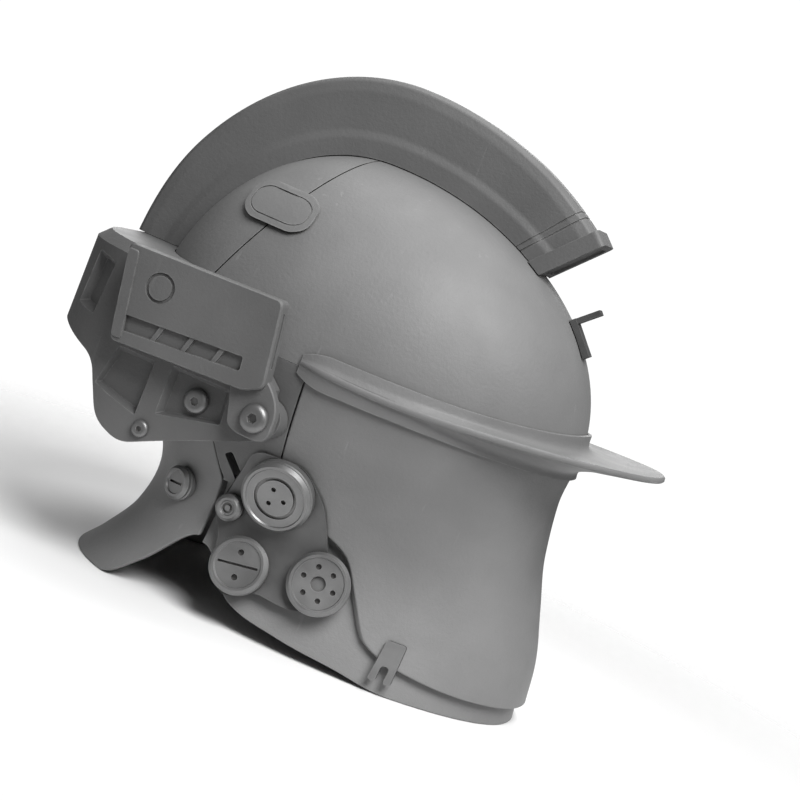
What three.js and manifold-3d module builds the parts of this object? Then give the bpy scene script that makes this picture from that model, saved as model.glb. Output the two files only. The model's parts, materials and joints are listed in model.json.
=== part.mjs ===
// A crested close helmet: a two-piece skull with a tall comb, a peaked brim, a face guard with a neck rim,
// a rear housing that wraps round the back, swinging temple modules, jaw discs and a flared nape guard.
// Millimetres. +X is forward, +Y the wearer's left and +Z up. The helmet stands on z = 0.
import * as THREE from "three";
import { mergeVertices } from "three/addons/utils/BufferGeometryUtils.js";
import Module from "manifold-3d";

const wasm = await Module();
wasm.setup();

// Overall
const HALF_LENGTH = 197; // from the middle to the tip of the brim, and to the back of the housing
const WALL = 4; // shell thickness
const GAP = 0.4; // between neighbouring pieces
const SEAT = 0.7; // under a piece that is seated on a curved shell
const FAR = 400; // beyond every piece

// Skull: half an egg above the brow, widest at CENTRE_X
const CENTRE_X = -40;
const BROW_Z = 172;
const SKULL_HEIGHT = 134;
const PLAN_POWER = 2.25; // roundness of every level section; 2 is an ellipse
// Reach of each level section from the centre, below the brow: [height, millimetres]
const FRONT_REACH = smooth([
  [-20, 207], [0, 205], [14, 203], [40, 198], [72, 187], [105, 177], [140, 176], [BROW_Z, 181],
]);
const REAR_REACH = smooth([
  [-20, 124], [0, 106], [14, 94], [40, 78], [72, 74], [105, 89], [140, 110], [BROW_Z, 119],
]);
const SIDE_REACH = smooth([
  [-20, 124], [0, 115], [14, 109], [40, 98], [72, 92], [105, 101], [140, 113], [BROW_Z, 118],
]);
// Soft ridge down the middle of the face guard: [height, how far it stands out]
const KEEL = smooth([[0, 6], [60, 9], [110, 8], [BROW_Z, 0]]);
const KEEL_SPREAD = 0.3; // radians

// Seams between the shells
const POLE_X = -111; // the skull's ribs meet on a line through here, across the helmet
const CROWN_SEAM = THREE.MathUtils.degToRad(66); // rib between visor and rear shell
const RIB_END = THREE.MathUtils.degToRad(87); // the ribs stop short of the line they meet on
const FACE_REAR_X = -13; // back edge of the face guard
const RIM_SEAM = smooth([[-13, 84], [19, 80], [44, 70], [60, 48], [76, 27], [109, 17], [164, 13]]);
const NECK_EDGE = smooth([[-45, 42], [-11, 17], [29, 9], [69, 5], [109, 0]]);
const NECK_REAR_X = -45;
const NECK_INSET = WALL + 1.8; // the neck rim lies this far inside, tucked up behind the face guard
const NECK_LAP = 5;
const NAPE_EDGE = smooth([[-100, 0], [-76, 17], [-46, 46]]);
const NAPE_FRONT_X = (z) => -46 - 0.62 * Math.max(0, z - 84); // front edge of the nape guard

// Comb
const COMB_HALF_WIDTH = 15;
const COMB_WALL = 3;
const COMB_FOOT = 0.3; // clearance over the skull
const COMB_FRONT = THREE.MathUtils.degToRad(46);
const COMB_REAR = THREE.MathUtils.degToRad(173);
const COMB_RISE = smooth([[0.6, 44], [1.1, 50], [1.75, 53], [2.5, 46], [3.1, 37.5]]); // [angle, rise]
const CAP_THICKNESS = 11;
const CAP_OVERHANG = 3.5;
const CAP_BORDER = 5; // round the sunk face
const CAP_SUNK = 2;

// Housing, temple modules and their pivots
const HOUSING_TOP = 201;
const HOUSING_HALF_WIDTH = 127;
const HOUSING_FRONT_X = -26;
const PIVOT_X = -28;
const PIVOT_Z = 134;
const BORE = 5;
const MODULE_INNER_Y = HOUSING_HALF_WIDTH + 1.5;
const MODULE_THICKNESS = 14;

// ---------------------------------------------------------------- curves and the body's surface

// A smooth curve v(u) through [u, v] points, level before the first and after the last.
function smooth(points) {
  const last = points.length - 1;
  const slope = (i) => {
    if (i === 0 || i === last) return 0;
    return (points[i + 1][1] - points[i - 1][1]) / (points[i + 1][0] - points[i - 1][0]);
  };
  return (u) => {
    if (u <= points[0][0]) return points[0][1];
    if (u >= points[last][0]) return points[last][1];
    let i = 0;
    while (u > points[i + 1][0]) i += 1;
    const step = points[i + 1][0] - points[i][0];
    const t = (u - points[i][0]) / step;
    const rise = points[i + 1][1] - points[i][1];
    const bend = t * (1 - t) * step;
    return points[i][1] + rise * t * t * (3 - 2 * t) + bend * (slope(i) * (1 - t) - slope(i + 1) * t);
  };
}

// Distance from the centre line to the body at a height and plan angle. offset moves the surface outwards.
function bodyRadius(z, angle, offset = 0) {
  let shrink = 1;
  if (z > BROW_Z) {
    shrink = Math.sqrt(Math.max(0, 1 - ((z - BROW_Z) / (SKULL_HEIGHT + offset)) ** 2));
    if (shrink === 0) return 0;
  }
  const c = Math.cos(angle);
  const s = Math.sin(angle);
  const along = (c > 0 ? FRONT_REACH(z) : REAR_REACH(z)) + offset;
  const across = SIDE_REACH(z) + offset;
  const plan = Math.abs(c / along) ** PLAN_POWER + Math.abs(s / across) ** PLAN_POWER;
  const wrapped = Math.atan2(s, c);
  return shrink * plan ** (-1 / PLAN_POWER) + KEEL(z) * Math.exp(-((wrapped / KEEL_SPREAD) ** 2));
}

function bodyPoint(z, angle, offset = 0) {
  const r = bodyRadius(z, angle, offset);
  return new THREE.Vector3(CENTRE_X + r * Math.cos(angle), r * Math.sin(angle), z);
}

// Where a ray from a point inside leaves the body.
function bodyHit(from, direction, offset = 0) {
  let near = 0;
  let far = FAR;
  for (let i = 0; i < 40; i += 1) {
    const middle = (near + far) / 2;
    const p = from.clone().addScaledVector(direction, middle);
    const r = Math.hypot(p.x - CENTRE_X, p.y);
    const inside = r < bodyRadius(p.z, Math.atan2(p.y, p.x - CENTRE_X), offset);
    if (inside) near = middle;
    else far = middle;
  }
  return from.clone().addScaledVector(direction, near);
}

// A point of a skull rib. All ribs meet at the pole: rib is the angle up from forward in side view, and swing
// turns from the middle to a side.
function ribPoint(pole, rib, swing, offset) {
  const direction = new THREE.Vector3(
    Math.cos(rib) * Math.cos(swing),
    Math.sin(swing),
    Math.sin(rib) * Math.cos(swing),
  );
  return bodyHit(pole, direction, offset);
}

// The plan angle, from 0 to a half turn, at which the body's level section at z reaches x.
function angleAt(x, z, offset = 0) {
  let front = 0;
  let rear = Math.PI;
  for (let i = 0; i < 40; i += 1) {
    const middle = (front + rear) / 2;
    if (bodyPoint(z, middle, offset).x > x) front = middle;
    else rear = middle;
  }
  return front;
}

// The point on the wearer's right at x and z, and the way the surface faces there.
function rightSide(x, z) {
  const angle = -angleAt(x, z);
  const step = 0.02;
  const along = bodyPoint(z, angle + step).sub(bodyPoint(z, angle - step));
  const up = bodyPoint(z + 1, angle).sub(bodyPoint(z - 1, angle));
  return { point: bodyPoint(z, angle), normal: along.cross(up).normalize() };
}

// ---------------------------------------------------------------- building solids

// A closed mesh through closed loops of points. Both ends are capped: capOutline is the loops' flat outline.
function loft(loops, capOutline) {
  const size = loops[0].length;
  const positions = loops.flat().flatMap((p) => [p.x, p.y, p.z]);
  const index = [];
  for (let i = 0; i + 1 < loops.length; i += 1) {
    for (let j = 0; j < size; j += 1) {
      const a = i * size + j;
      const b = i * size + ((j + 1) % size);
      index.push(a, b, b + size, a, b + size, a + size);
    }
  }
  const end = (loops.length - 1) * size;
  const turning = Math.sign(THREE.ShapeUtils.area(capOutline));
  for (const [a, ...others] of THREE.ShapeUtils.triangulateShape(capOutline, [])) {
    const corners = [a, ...others].map((i) => capOutline[i]);
    const [b, c] = Math.sign(THREE.ShapeUtils.area(corners)) === turning ? others : others.reverse();
    index.push(a, c, b, end + a, end + b, end + c);
  }
  return closed(positions, index);
}

// A wall between two grids of points, outer(s, t) and inner(s, t), with s and t from 0 to 1.
function wall(outer, inner, across, up) {
  const loops = [];
  for (let i = 0; i <= across; i += 1) {
    const loop = [];
    for (let j = 0; j <= up; j += 1) loop.push(outer(i / across, j / up));
    for (let j = up; j >= 0; j -= 1) loop.push(inner(i / across, j / up));
    loops.push(loop);
  }
  const size = 2 * (up + 1);
  const positions = loops.flat().flatMap((p) => [p.x, p.y, p.z]);
  const index = [];
  for (let i = 0; i < across; i += 1) {
    for (let j = 0; j < size; j += 1) {
      const a = i * size + j;
      const b = i * size + ((j + 1) % size);
      index.push(a, b, b + size, a, b + size, a + size);
    }
  }
  const end = across * size;
  for (let j = 0; j < up; j += 1) {
    const k = size - 1 - j;
    index.push(j, k, k - 1, j, k - 1, j + 1);
    index.push(end + j, end + k - 1, end + k, end + j, end + j + 1, end + k - 1);
  }
  return closed(positions, index);
}

// A geometry with its faces pointing out, whichever way round they were listed.
function closed(positions, index) {
  const geometry = new THREE.BufferGeometry();
  geometry.setAttribute("position", new THREE.Float32BufferAttribute(positions, 3));
  let volume = 0;
  const corner = (i) => new THREE.Vector3().fromArray(positions, 3 * i);
  for (let i = 0; i < index.length; i += 3) {
    volume += corner(index[i]).dot(corner(index[i + 1]).cross(corner(index[i + 2])));
  }
  if (volume < 0) index.reverse();
  geometry.setIndex(index);
  return geometry;
}

function solid(geometry) {
  const bare = geometry.clone();
  bare.deleteAttribute("normal");
  bare.deleteAttribute("uv");
  const merged = mergeVertices(bare, 1e-3);
  return new wasm.Manifold(
    new wasm.Mesh({
      numProp: 3,
      vertProperties: merged.attributes.position.array,
      triVerts: new Uint32Array(merged.index.array),
    }),
  );
}

function geometryOf(manifold) {
  const mesh = manifold.getMesh();
  const geometry = new THREE.BufferGeometry();
  geometry.setAttribute("position", new THREE.BufferAttribute(new Float32Array(mesh.vertProperties), 3));
  geometry.setIndex(new THREE.BufferAttribute(new Uint32Array(mesh.triVerts), 1));
  return geometry;
}

const bodies = new Map();

// The whole body as one solid, moved outwards by offset.
function bodySolid(offset) {
  if (!bodies.has(offset)) bodies.set(offset, makeBody(offset, 64));
  return bodies.get(offset);
}

function makeBody(offset, around) {
  const heights = [];
  for (let z = -10; z < BROW_Z; z += 14) heights.push(z);
  const steps = 14;
  for (let i = 0; i < steps; i += 1) {
    heights.push(BROW_Z + (SKULL_HEIGHT + offset) * Math.sin((i / steps) * (Math.PI / 2)));
  }
  const loops = heights.map((z) => {
    const loop = [];
    for (let j = 0; j < around; j += 1) loop.push(bodyPoint(z, (j / around) * 2 * Math.PI, offset));
    return loop;
  });
  const positions = loops.flat().flatMap((p) => [p.x, p.y, p.z]);
  const bottom = positions.length / 3;
  positions.push(CENTRE_X, 0, heights[0], CENTRE_X, 0, BROW_Z + SKULL_HEIGHT + offset);
  const index = [];
  const top = (heights.length - 1) * around;
  for (let j = 0; j < around; j += 1) {
    const next = (j + 1) % around;
    for (let i = 0; i + 1 < heights.length; i += 1) {
      const a = i * around;
      index.push(a + j, a + next, a + around + next, a + j, a + around + next, a + around + j);
    }
    index.push(bottom, next, j, bottom + 1, top + j, top + next);
  }
  return solid(closed(positions, index));
}

// An outline in side view, drawn on x and z, as a solid from y = low to y = high.
function sideSlab(shape, low, high, curveSegments = 10) {
  const geometry = new THREE.ExtrudeGeometry(shape, { depth: high - low, bevelEnabled: false, curveSegments });
  geometry.rotateX(Math.PI / 2);
  geometry.translate(0, high, 0);
  return solid(geometry);
}

// A shape on x and y as a solid from z = 0 up.
function prism(shape, height) {
  return solid(new THREE.ExtrudeGeometry(shape, { depth: height, bevelEnabled: false, curveSegments: 4 }));
}

const moved = (corners, x, z) => corners.map(([a, b]) => [a + x, b + z]);

// A side outline with straight sides and rounded corners.
function roundedShape(corners, radius) {
  const shape = new THREE.Shape();
  const points = corners.map(([x, z]) => new THREE.Vector2(x, z));
  points.forEach((corner, i) => {
    const before = points[(i + points.length - 1) % points.length];
    const after = points[(i + 1) % points.length];
    const r = Math.min(radius, 0.45 * corner.distanceTo(before), 0.45 * corner.distanceTo(after));
    const start = corner.clone().add(before.clone().sub(corner).setLength(r));
    const end = corner.clone().add(after.clone().sub(corner).setLength(r));
    if (i === 0) shape.moveTo(start.x, start.y);
    else shape.lineTo(start.x, start.y);
    shape.quadraticCurveTo(corner.x, corner.y, end.x, end.y);
  });
  shape.closePath();
  return shape;
}

// A plate that follows the body between two offsets, cut to a side outline on the wearer's right.
function formedPlate(shape, inner, outer) {
  return bodySolid(outer).subtract(bodySolid(inner)).intersect(sideSlab(shape, -FAR, -20, 2));
}

// A turned solid on its own Z axis from [radius, height] points, both ends on the axis.
function turned(profile, segments = 40) {
  const points = profile.map(([r, h]) => new THREE.Vector2(r, h));
  const geometry = new THREE.LatheGeometry(points, segments);
  geometry.rotateX(Math.PI / 2);
  return solid(geometry);
}

// A round bar on its own Z axis.
function bar(radius, low, high, segments = 16) {
  return turned([[0, low], [radius, low], [radius, high], [0, high]], segments);
}

// Moves a manifold whose own Z axis is to point along a direction from a point.
function stand(manifold, point, direction, spin = 0) {
  const turn = new THREE.Quaternion().setFromUnitVectors(new THREE.Vector3(0, 0, 1), direction);
  turn.multiply(new THREE.Quaternion().setFromAxisAngle(new THREE.Vector3(0, 0, 1), spin));
  const matrix = new THREE.Matrix4().compose(point, turn, new THREE.Vector3(1, 1, 1));
  return manifold.transform(matrix.elements);
}

// ---------------------------------------------------------------- materials

const paint = (color, roughness, metalness) => new THREE.MeshStandardMaterial({ color, roughness, metalness });
const SHELL = paint(0x8c8e90, 0.55, 0.1);
const DARK = paint(0x5f6163, 0.5, 0.4);
const PLATE = paint(0x77797b, 0.45, 0.6);
const STEEL = paint(0x9a9c9e, 0.35, 0.9);

const helmet = new THREE.Group();

function add(name, shape, material) {
  const geometry = shape.isBufferGeometry ? shape : geometryOf(shape);
  const mesh = new THREE.Mesh(geometry, material);
  mesh.name = name;
  helmet.add(mesh);
}

// The same piece on both sides. It is modelled on the wearer's right and mirrored across y = 0.
function addPair(name, shape, material) {
  add(name + "_right", shape, material);
  add(name + "_left", shape, material);
  helmet.children[helmet.children.length - 1].scale.y = -1;
}

// ---------------------------------------------------------------- skull shells

// The part of the skull between two ribs. shift moves the pole off the crown seam, to open the seam evenly.
function skullShell(ribFrom, ribTo, shift, across, up) {
  const pole = new THREE.Vector3(POLE_X, 0, BROW_Z);
  pole.addScaledVector(new THREE.Vector3(Math.sin(CROWN_SEAM), 0, -Math.cos(CROWN_SEAM)), shift);
  const rib = (t) => ribFrom + (ribTo - ribFrom) * t;
  const at = (offset) => (s, t) => ribPoint(pole, rib(t), RIB_END * (2 * s - 1), offset);
  return wall(at(0), at(-WALL), across, up);
}

add("visor", skullShell(0, CROWN_SEAM, GAP / 2, 20, 11), SHELL);
add("rear_shell", skullShell(CROWN_SEAM, Math.PI, -GAP / 2, 20, 13), SHELL);

// ---------------------------------------------------------------- lower shells

// A point of a four-sided piece of the body. from(z) and to(z) give its plan angles at the two side edges,
// low(x) and high(x) its heights. Both depend on each other, so they are settled together.
function panelPoint({ from, to, low, high }, s, t, offset) {
  let z = BROW_Z / 2;
  let angle = 0;
  for (let i = 0; i < 60; i += 1) {
    angle = from(z) + (to(z) - from(z)) * s;
    const x = bodyPoint(z, angle).x;
    z = 0.5 * z + 0.5 * (low(x) + (high(x) - low(x)) * t);
  }
  return bodyPoint(z, angle, offset);
}

function panel(edges, outer, across, up) {
  const at = (offset) => (s, t) => panelPoint(edges, s, t, offset);
  return wall(at(outer), at(outer - WALL), across, up);
}

const BELOW_BROW = BROW_Z - GAP;
const faceAngle = (z) => angleAt(FACE_REAR_X, z);
const neckAngle = (z) => angleAt(NECK_REAR_X, z);
const napeAngle = (z) => angleAt(NAPE_FRONT_X(z), z);
const SIDE_GAP = 0.014; // radians, between the side panels and their neighbours

add(
  "face_guard",
  panel({ from: (z) => -faceAngle(z), to: faceAngle, low: RIM_SEAM, high: () => BELOW_BROW }, 0, 24, 10),
  SHELL,
);
add(
  "neck_rim",
  panel(
    { from: (z) => -neckAngle(z), to: neckAngle, low: NECK_EDGE, high: (x) => RIM_SEAM(x) + NECK_LAP },
    -NECK_INSET,
    26,
    4,
  ),
  SHELL,
);
add(
  "nape_guard",
  panel(
    {
      from: (z) => napeAngle(z) + SIDE_GAP,
      to: (z) => 2 * Math.PI - napeAngle(z) - SIDE_GAP,
      low: NAPE_EDGE,
      high: () => BELOW_BROW,
    },
    0,
    18,
    11,
  ),
  SHELL,
);

const sideEdges = {
  from: (z) => -napeAngle(z),
  to: (z) => -faceAngle(z) - SIDE_GAP,
  low: () => RIM_SEAM(FACE_REAR_X) + GAP,
  high: () => BELOW_BROW,
};

// A slanted vent, cut through on the wearer's right, with its lowest corner at x and z.
function sideVent(x, z) {
  const shape = roundedShape([[x, z], [x + 5, z + 3], [x - 9, z + 19], [x - 14, z + 16]], 2);
  return sideSlab(shape, -FAR, -20, 3);
}

const sidePanel = [[-36, 85], [-50, 82]].reduce(
  (body, [x, z]) => body.subtract(sideVent(x, z)),
  solid(panel(sideEdges, 0, 5, 6)),
);
addPair("side_panel", sidePanel, DARK);

// ---------------------------------------------------------------- brim

// The brim's edge at a plan angle: how far out it reaches from the skull, and its height.
const BRIM_REAR_X = -20;
const TIP_Z = 184;
const brimEnd = angleAt(BRIM_REAR_X, BROW_Z);
const point = (angle) => Math.cos(angle) ** 8;
const brimTip = HALF_LENGTH - bodyPoint(TIP_Z + 1, 0).x;
const brimReach = (angle) => 6 + (brimTip - 6) * point(angle);
const BRIM_Z = 175; // height of the edge at the sides
const brimDip = (angle) => 5 * Math.sin(angle) ** 2 * Math.sin(2 * angle) ** 2;
const brimHeight = (angle) => BRIM_Z - brimDip(angle) + (TIP_Z - BRIM_Z) * point(angle);

// Section through the brim: [outwards from the skull, height], round the flange and the brim.
function brimSection(angle) {
  const inner = SEAT;
  const reach = brimReach(angle);
  const edge = brimHeight(angle);
  const rise = 9 + 8 * point(angle);
  const root = 176 - rise * 0.1;
  return [
    [inner, root + rise],
    [3, root + rise],
    [3.6, root + rise * 0.45],
    [3.6 + (reach - 3.6) * 0.25, root + rise * 0.12 + (edge - root) * 0.25 + 1.5],
    [3.6 + (reach - 3.6) * 0.6, root + (edge - root) * 0.6 + 1.5],
    [reach - 1, edge + 2],
    [reach, edge + 1],
    [reach, edge - 1],
    [reach - 1, edge - 2],
    [3.6 + (reach - 3.6) * 0.6, root + (edge - root) * 0.6 - 2.5],
    [3.6 + (reach - 3.6) * 0.25, root + (edge - root) * 0.25 - 3.5],
    [3.4, root - 7],
    [3, root - 13],
    [inner, root - 13],
    [inner, BROW_Z + 3],
  ];
}

function brimLoop(angle) {
  return brimSection(angle).map(([out, z]) => {
    const r = bodyRadius(z, angle) + out;
    return new THREE.Vector3(CENTRE_X + r * Math.cos(angle), r * Math.sin(angle), z);
  });
}

const BRIM_STEPS = 30;
const brimLoops = [];
for (let i = 0; i <= BRIM_STEPS; i += 1) {
  const share = (2 * i) / BRIM_STEPS - 1;
  brimLoops.push(brimLoop(brimEnd * share * (0.6 + 0.4 * Math.abs(share))));
}
const brimOutline = brimSection(brimEnd).map(([out, z]) => new THREE.Vector2(out, z));
add("brim", loft(brimLoops, brimOutline), SHELL);

// ---------------------------------------------------------------- comb

const combCentre = new THREE.Vector3(CENTRE_X, 0, BROW_Z);

// A point of the comb: rise above the skull along the ray at an angle, and y to the side.
function combPoint(angle, rise, y) {
  const direction = new THREE.Vector3(Math.cos(angle), 0, Math.sin(angle));
  const p = bodyHit(combCentre.clone().setZ(BROW_Z + 0.01), direction);
  p.addScaledVector(direction, rise);
  p.y = y;
  return p;
}

// The comb's section at an angle as [rise above the skull, y]: a wall of COMB_WALL open underneath, its outside
// waisted above the foot and chamfered along the top.
function combSection(angle) {
  const half = COMB_HALF_WIDTH;
  const waist = half - 1.5;
  const top = COMB_RISE(angle);
  const outside = [
    [COMB_FOOT, half], [12, half], [17, waist], [top - 10, waist], [top - 3, half - 3], [top, half - 7],
  ];
  const inside = [
    [top - COMB_WALL, half - 8.5], [top - 9, waist - COMB_WALL], [COMB_FOOT, waist - COMB_WALL],
  ];
  const mirrored = (points) => points.map(([rise, y]) => [rise, -y]).reverse();
  return [...outside, ...mirrored(outside), ...mirrored(inside), ...inside];
}

function combBody(steps) {
  const loops = [];
  for (let i = 0; i <= steps; i += 1) {
    const angle = COMB_FRONT + ((COMB_REAR - COMB_FRONT) * i) / steps;
    loops.push(combSection(angle).map(([rise, y]) => combPoint(angle, rise, y)));
  }
  return solid(loft(loops, combSection(COMB_FRONT).map(([rise, y]) => new THREE.Vector2(y, rise))));
}

const everywhere = solid(new THREE.BoxGeometry(FAR, FAR, FAR));
const aboveHousing = everywhere.translate([-FAR / 2, 0, FAR / 2 + HOUSING_TOP + GAP]);
const aheadOfHousing = everywhere.translate([FAR / 2, 0, FAR / 2]);
add("comb", combBody(20).intersect(aboveHousing.add(aheadOfHousing)), DARK);

// The cap across the comb's front end, square to it, with a sunk face.
function combCap() {
  const forward = new THREE.Vector3(Math.sin(COMB_FRONT), 0, -Math.cos(COMB_FRONT));
  const outward = new THREE.Vector3(Math.cos(COMB_FRONT), 0, Math.sin(COMB_FRONT));
  const height = COMB_RISE(COMB_FRONT) + CAP_OVERHANG;
  const half = COMB_HALF_WIDTH + CAP_OVERHANG;
  const foot = combPoint(COMB_FRONT, 0, 0).addScaledVector(forward, GAP);
  const frame = new THREE.Matrix4().makeBasis(new THREE.Vector3(0, 1, 0), outward, forward);
  frame.setPosition(foot);
  const outline = roundedShape([[-half, -14], [half, -14], [half, height], [-half, height]], 5);
  const inner = half - CAP_BORDER;
  const top = height - CAP_BORDER;
  const sunk = roundedShape([[-inner, 6], [inner, 6], [inner, top], [-inner, top]], 3);
  const block = prism(outline, CAP_THICKNESS);
  const recess = prism(sunk, CAP_SUNK + 1).translate([0, 0, CAP_THICKNESS - CAP_SUNK]);
  return block.subtract(recess).transform(frame.elements).subtract(bodySolid(SEAT));
}

add("comb_cap", combCap(), DARK);

// ---------------------------------------------------------------- brow bracket and hatches

const BRACKET_ANGLE = THREE.MathUtils.degToRad(26);

// A block with a tab along the upper edge of its face. Its own Z is square to the skull, its Y runs up it.
function browBracket() {
  const foot = combPoint(BRACKET_ANGLE, 0, 0);
  const rise = combPoint(BRACKET_ANGLE + 0.06, 0, 0).sub(combPoint(BRACKET_ANGLE - 0.06, 0, 0)).normalize();
  const facing = new THREE.Vector3(0, 1, 0).cross(rise);
  const base = solid(new THREE.BoxGeometry(12, 26, 12)).translate([0, 0, -1.5]);
  const arm = solid(new THREE.BoxGeometry(10, 3.5, 18)).translate([0, 11.2, 11.5]);
  const hole = bar(2, -10, 10, 12).rotate([90, 0, 0]).translate([0, 11, 15]);
  const frame = new THREE.Matrix4().makeBasis(new THREE.Vector3(0, 1, 0), rise, facing);
  frame.setPosition(foot);
  return base.add(arm).subtract(hole).transform(frame.elements).subtract(bodySolid(SEAT));
}

add("brow_bracket", browBracket(), PLATE);

const HATCH_X = -79;
const HATCH_Z = 256;
const hatchCorners = [[-26, -7], [-17, -13], [17, -13], [26, -7], [26, 7], [17, 13], [-17, 13], [-26, 7]];
const hatchShape = roundedShape(moved(hatchCorners, HATCH_X, HATCH_Z), 5);
addPair("hatch", formedPlate(hatchShape, SEAT, 2.8), SHELL);

// ---------------------------------------------------------------- rear housing

// Half the housing's plan from its front corner back to the middle, as [x, y], set in by inset.
function housingPlan(inset) {
  const side = HOUSING_HALF_WIDTH - inset;
  const rear = -HALF_LENGTH + inset;
  const plan = new THREE.Shape();
  const front = HOUSING_FRONT_X - inset;
  plan.moveTo(front, -side);
  plan.lineTo(-120, -side);
  plan.bezierCurveTo(-165, -side, rear, -88 + inset, rear, -46);
  plan.lineTo(rear, 46);
  plan.bezierCurveTo(rear, 88 - inset, -165, side, -120, side);
  plan.lineTo(front, side);
  plan.closePath();
  return plan;
}

// The housing's outline in side view, set in by inset.
function housingSide(inset) {
  const front = HOUSING_FRONT_X + 4;
  const behind = -HALF_LENGTH - 30;
  const above = HOUSING_TOP + 20;
  const corners = [
    [front, 150], [front, 121], [-78, 98], [-108, 84], [-128, 92], [-146, 126], [-188, 138],
    [behind, 138], [behind, above], [-70, above], [-52, 176],
  ];
  const middle = new THREE.Vector2(-110, 150);
  return roundedShape(
    corners.map(([x, z]) => {
      const p = new THREE.Vector2(x, z);
      return p.add(middle.clone().sub(p).setLength(inset)).toArray();
    }),
    9,
  );
}

function housingBlock(inset) {
  const chamfer = 7;
  const depth = HOUSING_TOP - 60 - 2 * inset - 2 * chamfer;
  const plan = new THREE.ExtrudeGeometry(housingPlan(inset + chamfer), {
    depth,
    bevelEnabled: true,
    bevelSize: chamfer,
    bevelThickness: chamfer,
    bevelSegments: 1,
    curveSegments: 5,
  });
  plan.translate(0, 0, 60 + inset + chamfer);
  return solid(plan).intersect(sideSlab(housingSide(inset), -FAR, FAR, 2));
}

// Sunk panels in the housing's sides. Their corners are measured along the side from place, the point of the
// plan on the wearer's right where the side is turned by turn degrees, and up from the floor.
const POCKETS = [
  {
    corners: [[-14, 152], [10, 150], [14, 186], [-10, 188]],
    depth: 6,
    place: [-166, -110.6],
    turn: -39,
  },
  {
    corners: [[-18, 112], [16, 104], [16, 140], [-10, 140]],
    depth: 6,
    place: [-120, -HOUSING_HALF_WIDTH],
    turn: 0,
  },
  {
    corners: [[-21, 110], [21, 120], [19, 142], [-21, 142]],
    depth: 5,
    place: [-71, -HOUSING_HALF_WIDTH],
    turn: 0,
  },
];
const POCKET_REACH = 12; // how far the cutters stand out of the side

function pocketCutter({ corners, depth, place, turn }, grow) {
  const middle = corners.reduce((sum, [x, z]) => sum.add(new THREE.Vector2(x, z)), new THREE.Vector2());
  middle.divideScalar(corners.length);
  const grown = corners.map(([x, z]) => {
    const p = new THREE.Vector2(x, z);
    return p.add(p.clone().sub(middle).setLength(grow)).toArray();
  });
  const cutter = sideSlab(roundedShape(grown, 4 + grow), -POCKET_REACH, depth + grow, 2);
  return cutter.rotate([0, 0, turn]).translate([...place, 0]);
}

function rearHousing() {
  const hollow = POCKETS.reduce(
    (inside, pocket) => {
      const cutter = pocketCutter(pocket, 3);
      return inside.subtract(cutter).subtract(cutter.mirror([0, 1, 0]));
    },
    housingBlock(WALL),
  );
  const lug = sideBar(PIVOT_X, PIVOT_Z, 13, 104, HOUSING_HALF_WIDTH, 24);
  let block = housingBlock(0).subtract(hollow).add(lug).add(lug.mirror([0, 1, 0]));
  for (const pocket of POCKETS) {
    const cutter = pocketCutter(pocket, 0);
    block = block.subtract(cutter).subtract(cutter.mirror([0, 1, 0]));
  }
  const bore = sideBar(PIVOT_X, PIVOT_Z, BORE, 119, 140, 20);
  return block.subtract(bore).subtract(bore.mirror([0, 1, 0])).subtract(bodySolid(SEAT));
}

add("rear_housing", rearHousing(), PLATE);

// ---------------------------------------------------------------- temple modules and pivots

const MODULE_CORNERS = [[-131, 143], [-141, 203], [-36, 206], [-28, 153], [-40, 147]];
const ARM_CORNERS = [[-54, 160], [-44, 124], [-36, 121], [-16, 121], [-16, 144], [-30, 160]];
const ARM_THICKNESS = 8;
const MODULE_OUTER_Y = MODULE_INNER_Y + MODULE_THICKNESS;

// A flat plate on the wearer's right, from inner to outer millimetres off the middle, with chamfered edges.
function sidePlate(shape, inner, outer, chamfer) {
  const geometry = new THREE.ExtrudeGeometry(shape, {
    depth: outer - inner - 2 * chamfer,
    bevelThickness: chamfer,
    bevelSize: chamfer,
    bevelOffset: -chamfer,
    bevelSegments: 1,
    curveSegments: 3,
  });
  geometry.translate(0, 0, inner + chamfer);
  geometry.rotateX(Math.PI / 2);
  return solid(geometry);
}

// A round bar on the wearer's right, across the helmet, at x and z.
function sideBar(x, z, radius, inner, outer, segments) {
  return stand(bar(radius, inner, outer, segments), new THREE.Vector3(x, 0, z), new THREE.Vector3(0, -1, 0));
}

function templeModule() {
  const face = MODULE_OUTER_Y;
  const grooveShape = roundedShape([[-127, 151], [-46, 157], [-47, 166], [-128, 161]], 2);
  const groove = sideSlab(grooveShape, -face - 1, -face + 3, 3);
  const ribs = [-108, -88, -68].map((x) => {
    const rib = roundedShape([[x, 148], [x + 3, 148], [x + 10, 170], [x + 7, 170]], 0.1);
    return sideSlab(rib, -face + 0.8, -face + 3, 1);
  });
  const ring = sideBar(-112, 184, 9.5, face - 1.2, face + 1, 18).subtract(
    sideBar(-112, 184, 7.5, face - 2, face + 2, 18),
  );
  const lipShape = roundedShape([[-131, 146], [-140, 200], [-133, 200], [-124, 146]], 2);
  const lip = sidePlate(lipShape, face - 2, face + 1.2, 0.6);
  const slotBox = solid(new THREE.BoxGeometry(8, 3, 34));
  const endSlot = slotBox.rotate([0, -8.6, 0]).translate([-31, -face + 7, 182]);
  const arm = sidePlate(roundedShape(ARM_CORNERS, 11), MODULE_INNER_Y, MODULE_INNER_Y + ARM_THICKNESS, 0.8);
  return sidePlate(roundedShape(MODULE_CORNERS, 4), MODULE_INNER_Y, face, 1.2)
    .subtract(groove)
    .add(ribs[0])
    .add(ribs[1])
    .add(ribs[2])
    .subtract(ring)
    .subtract(endSlot)
    .add(lip)
    .add(arm)
    .subtract(sideBar(PIVOT_X, PIVOT_Z, BORE, 100, 200, 24));
}

addPair("module", templeModule(), DARK);

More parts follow.
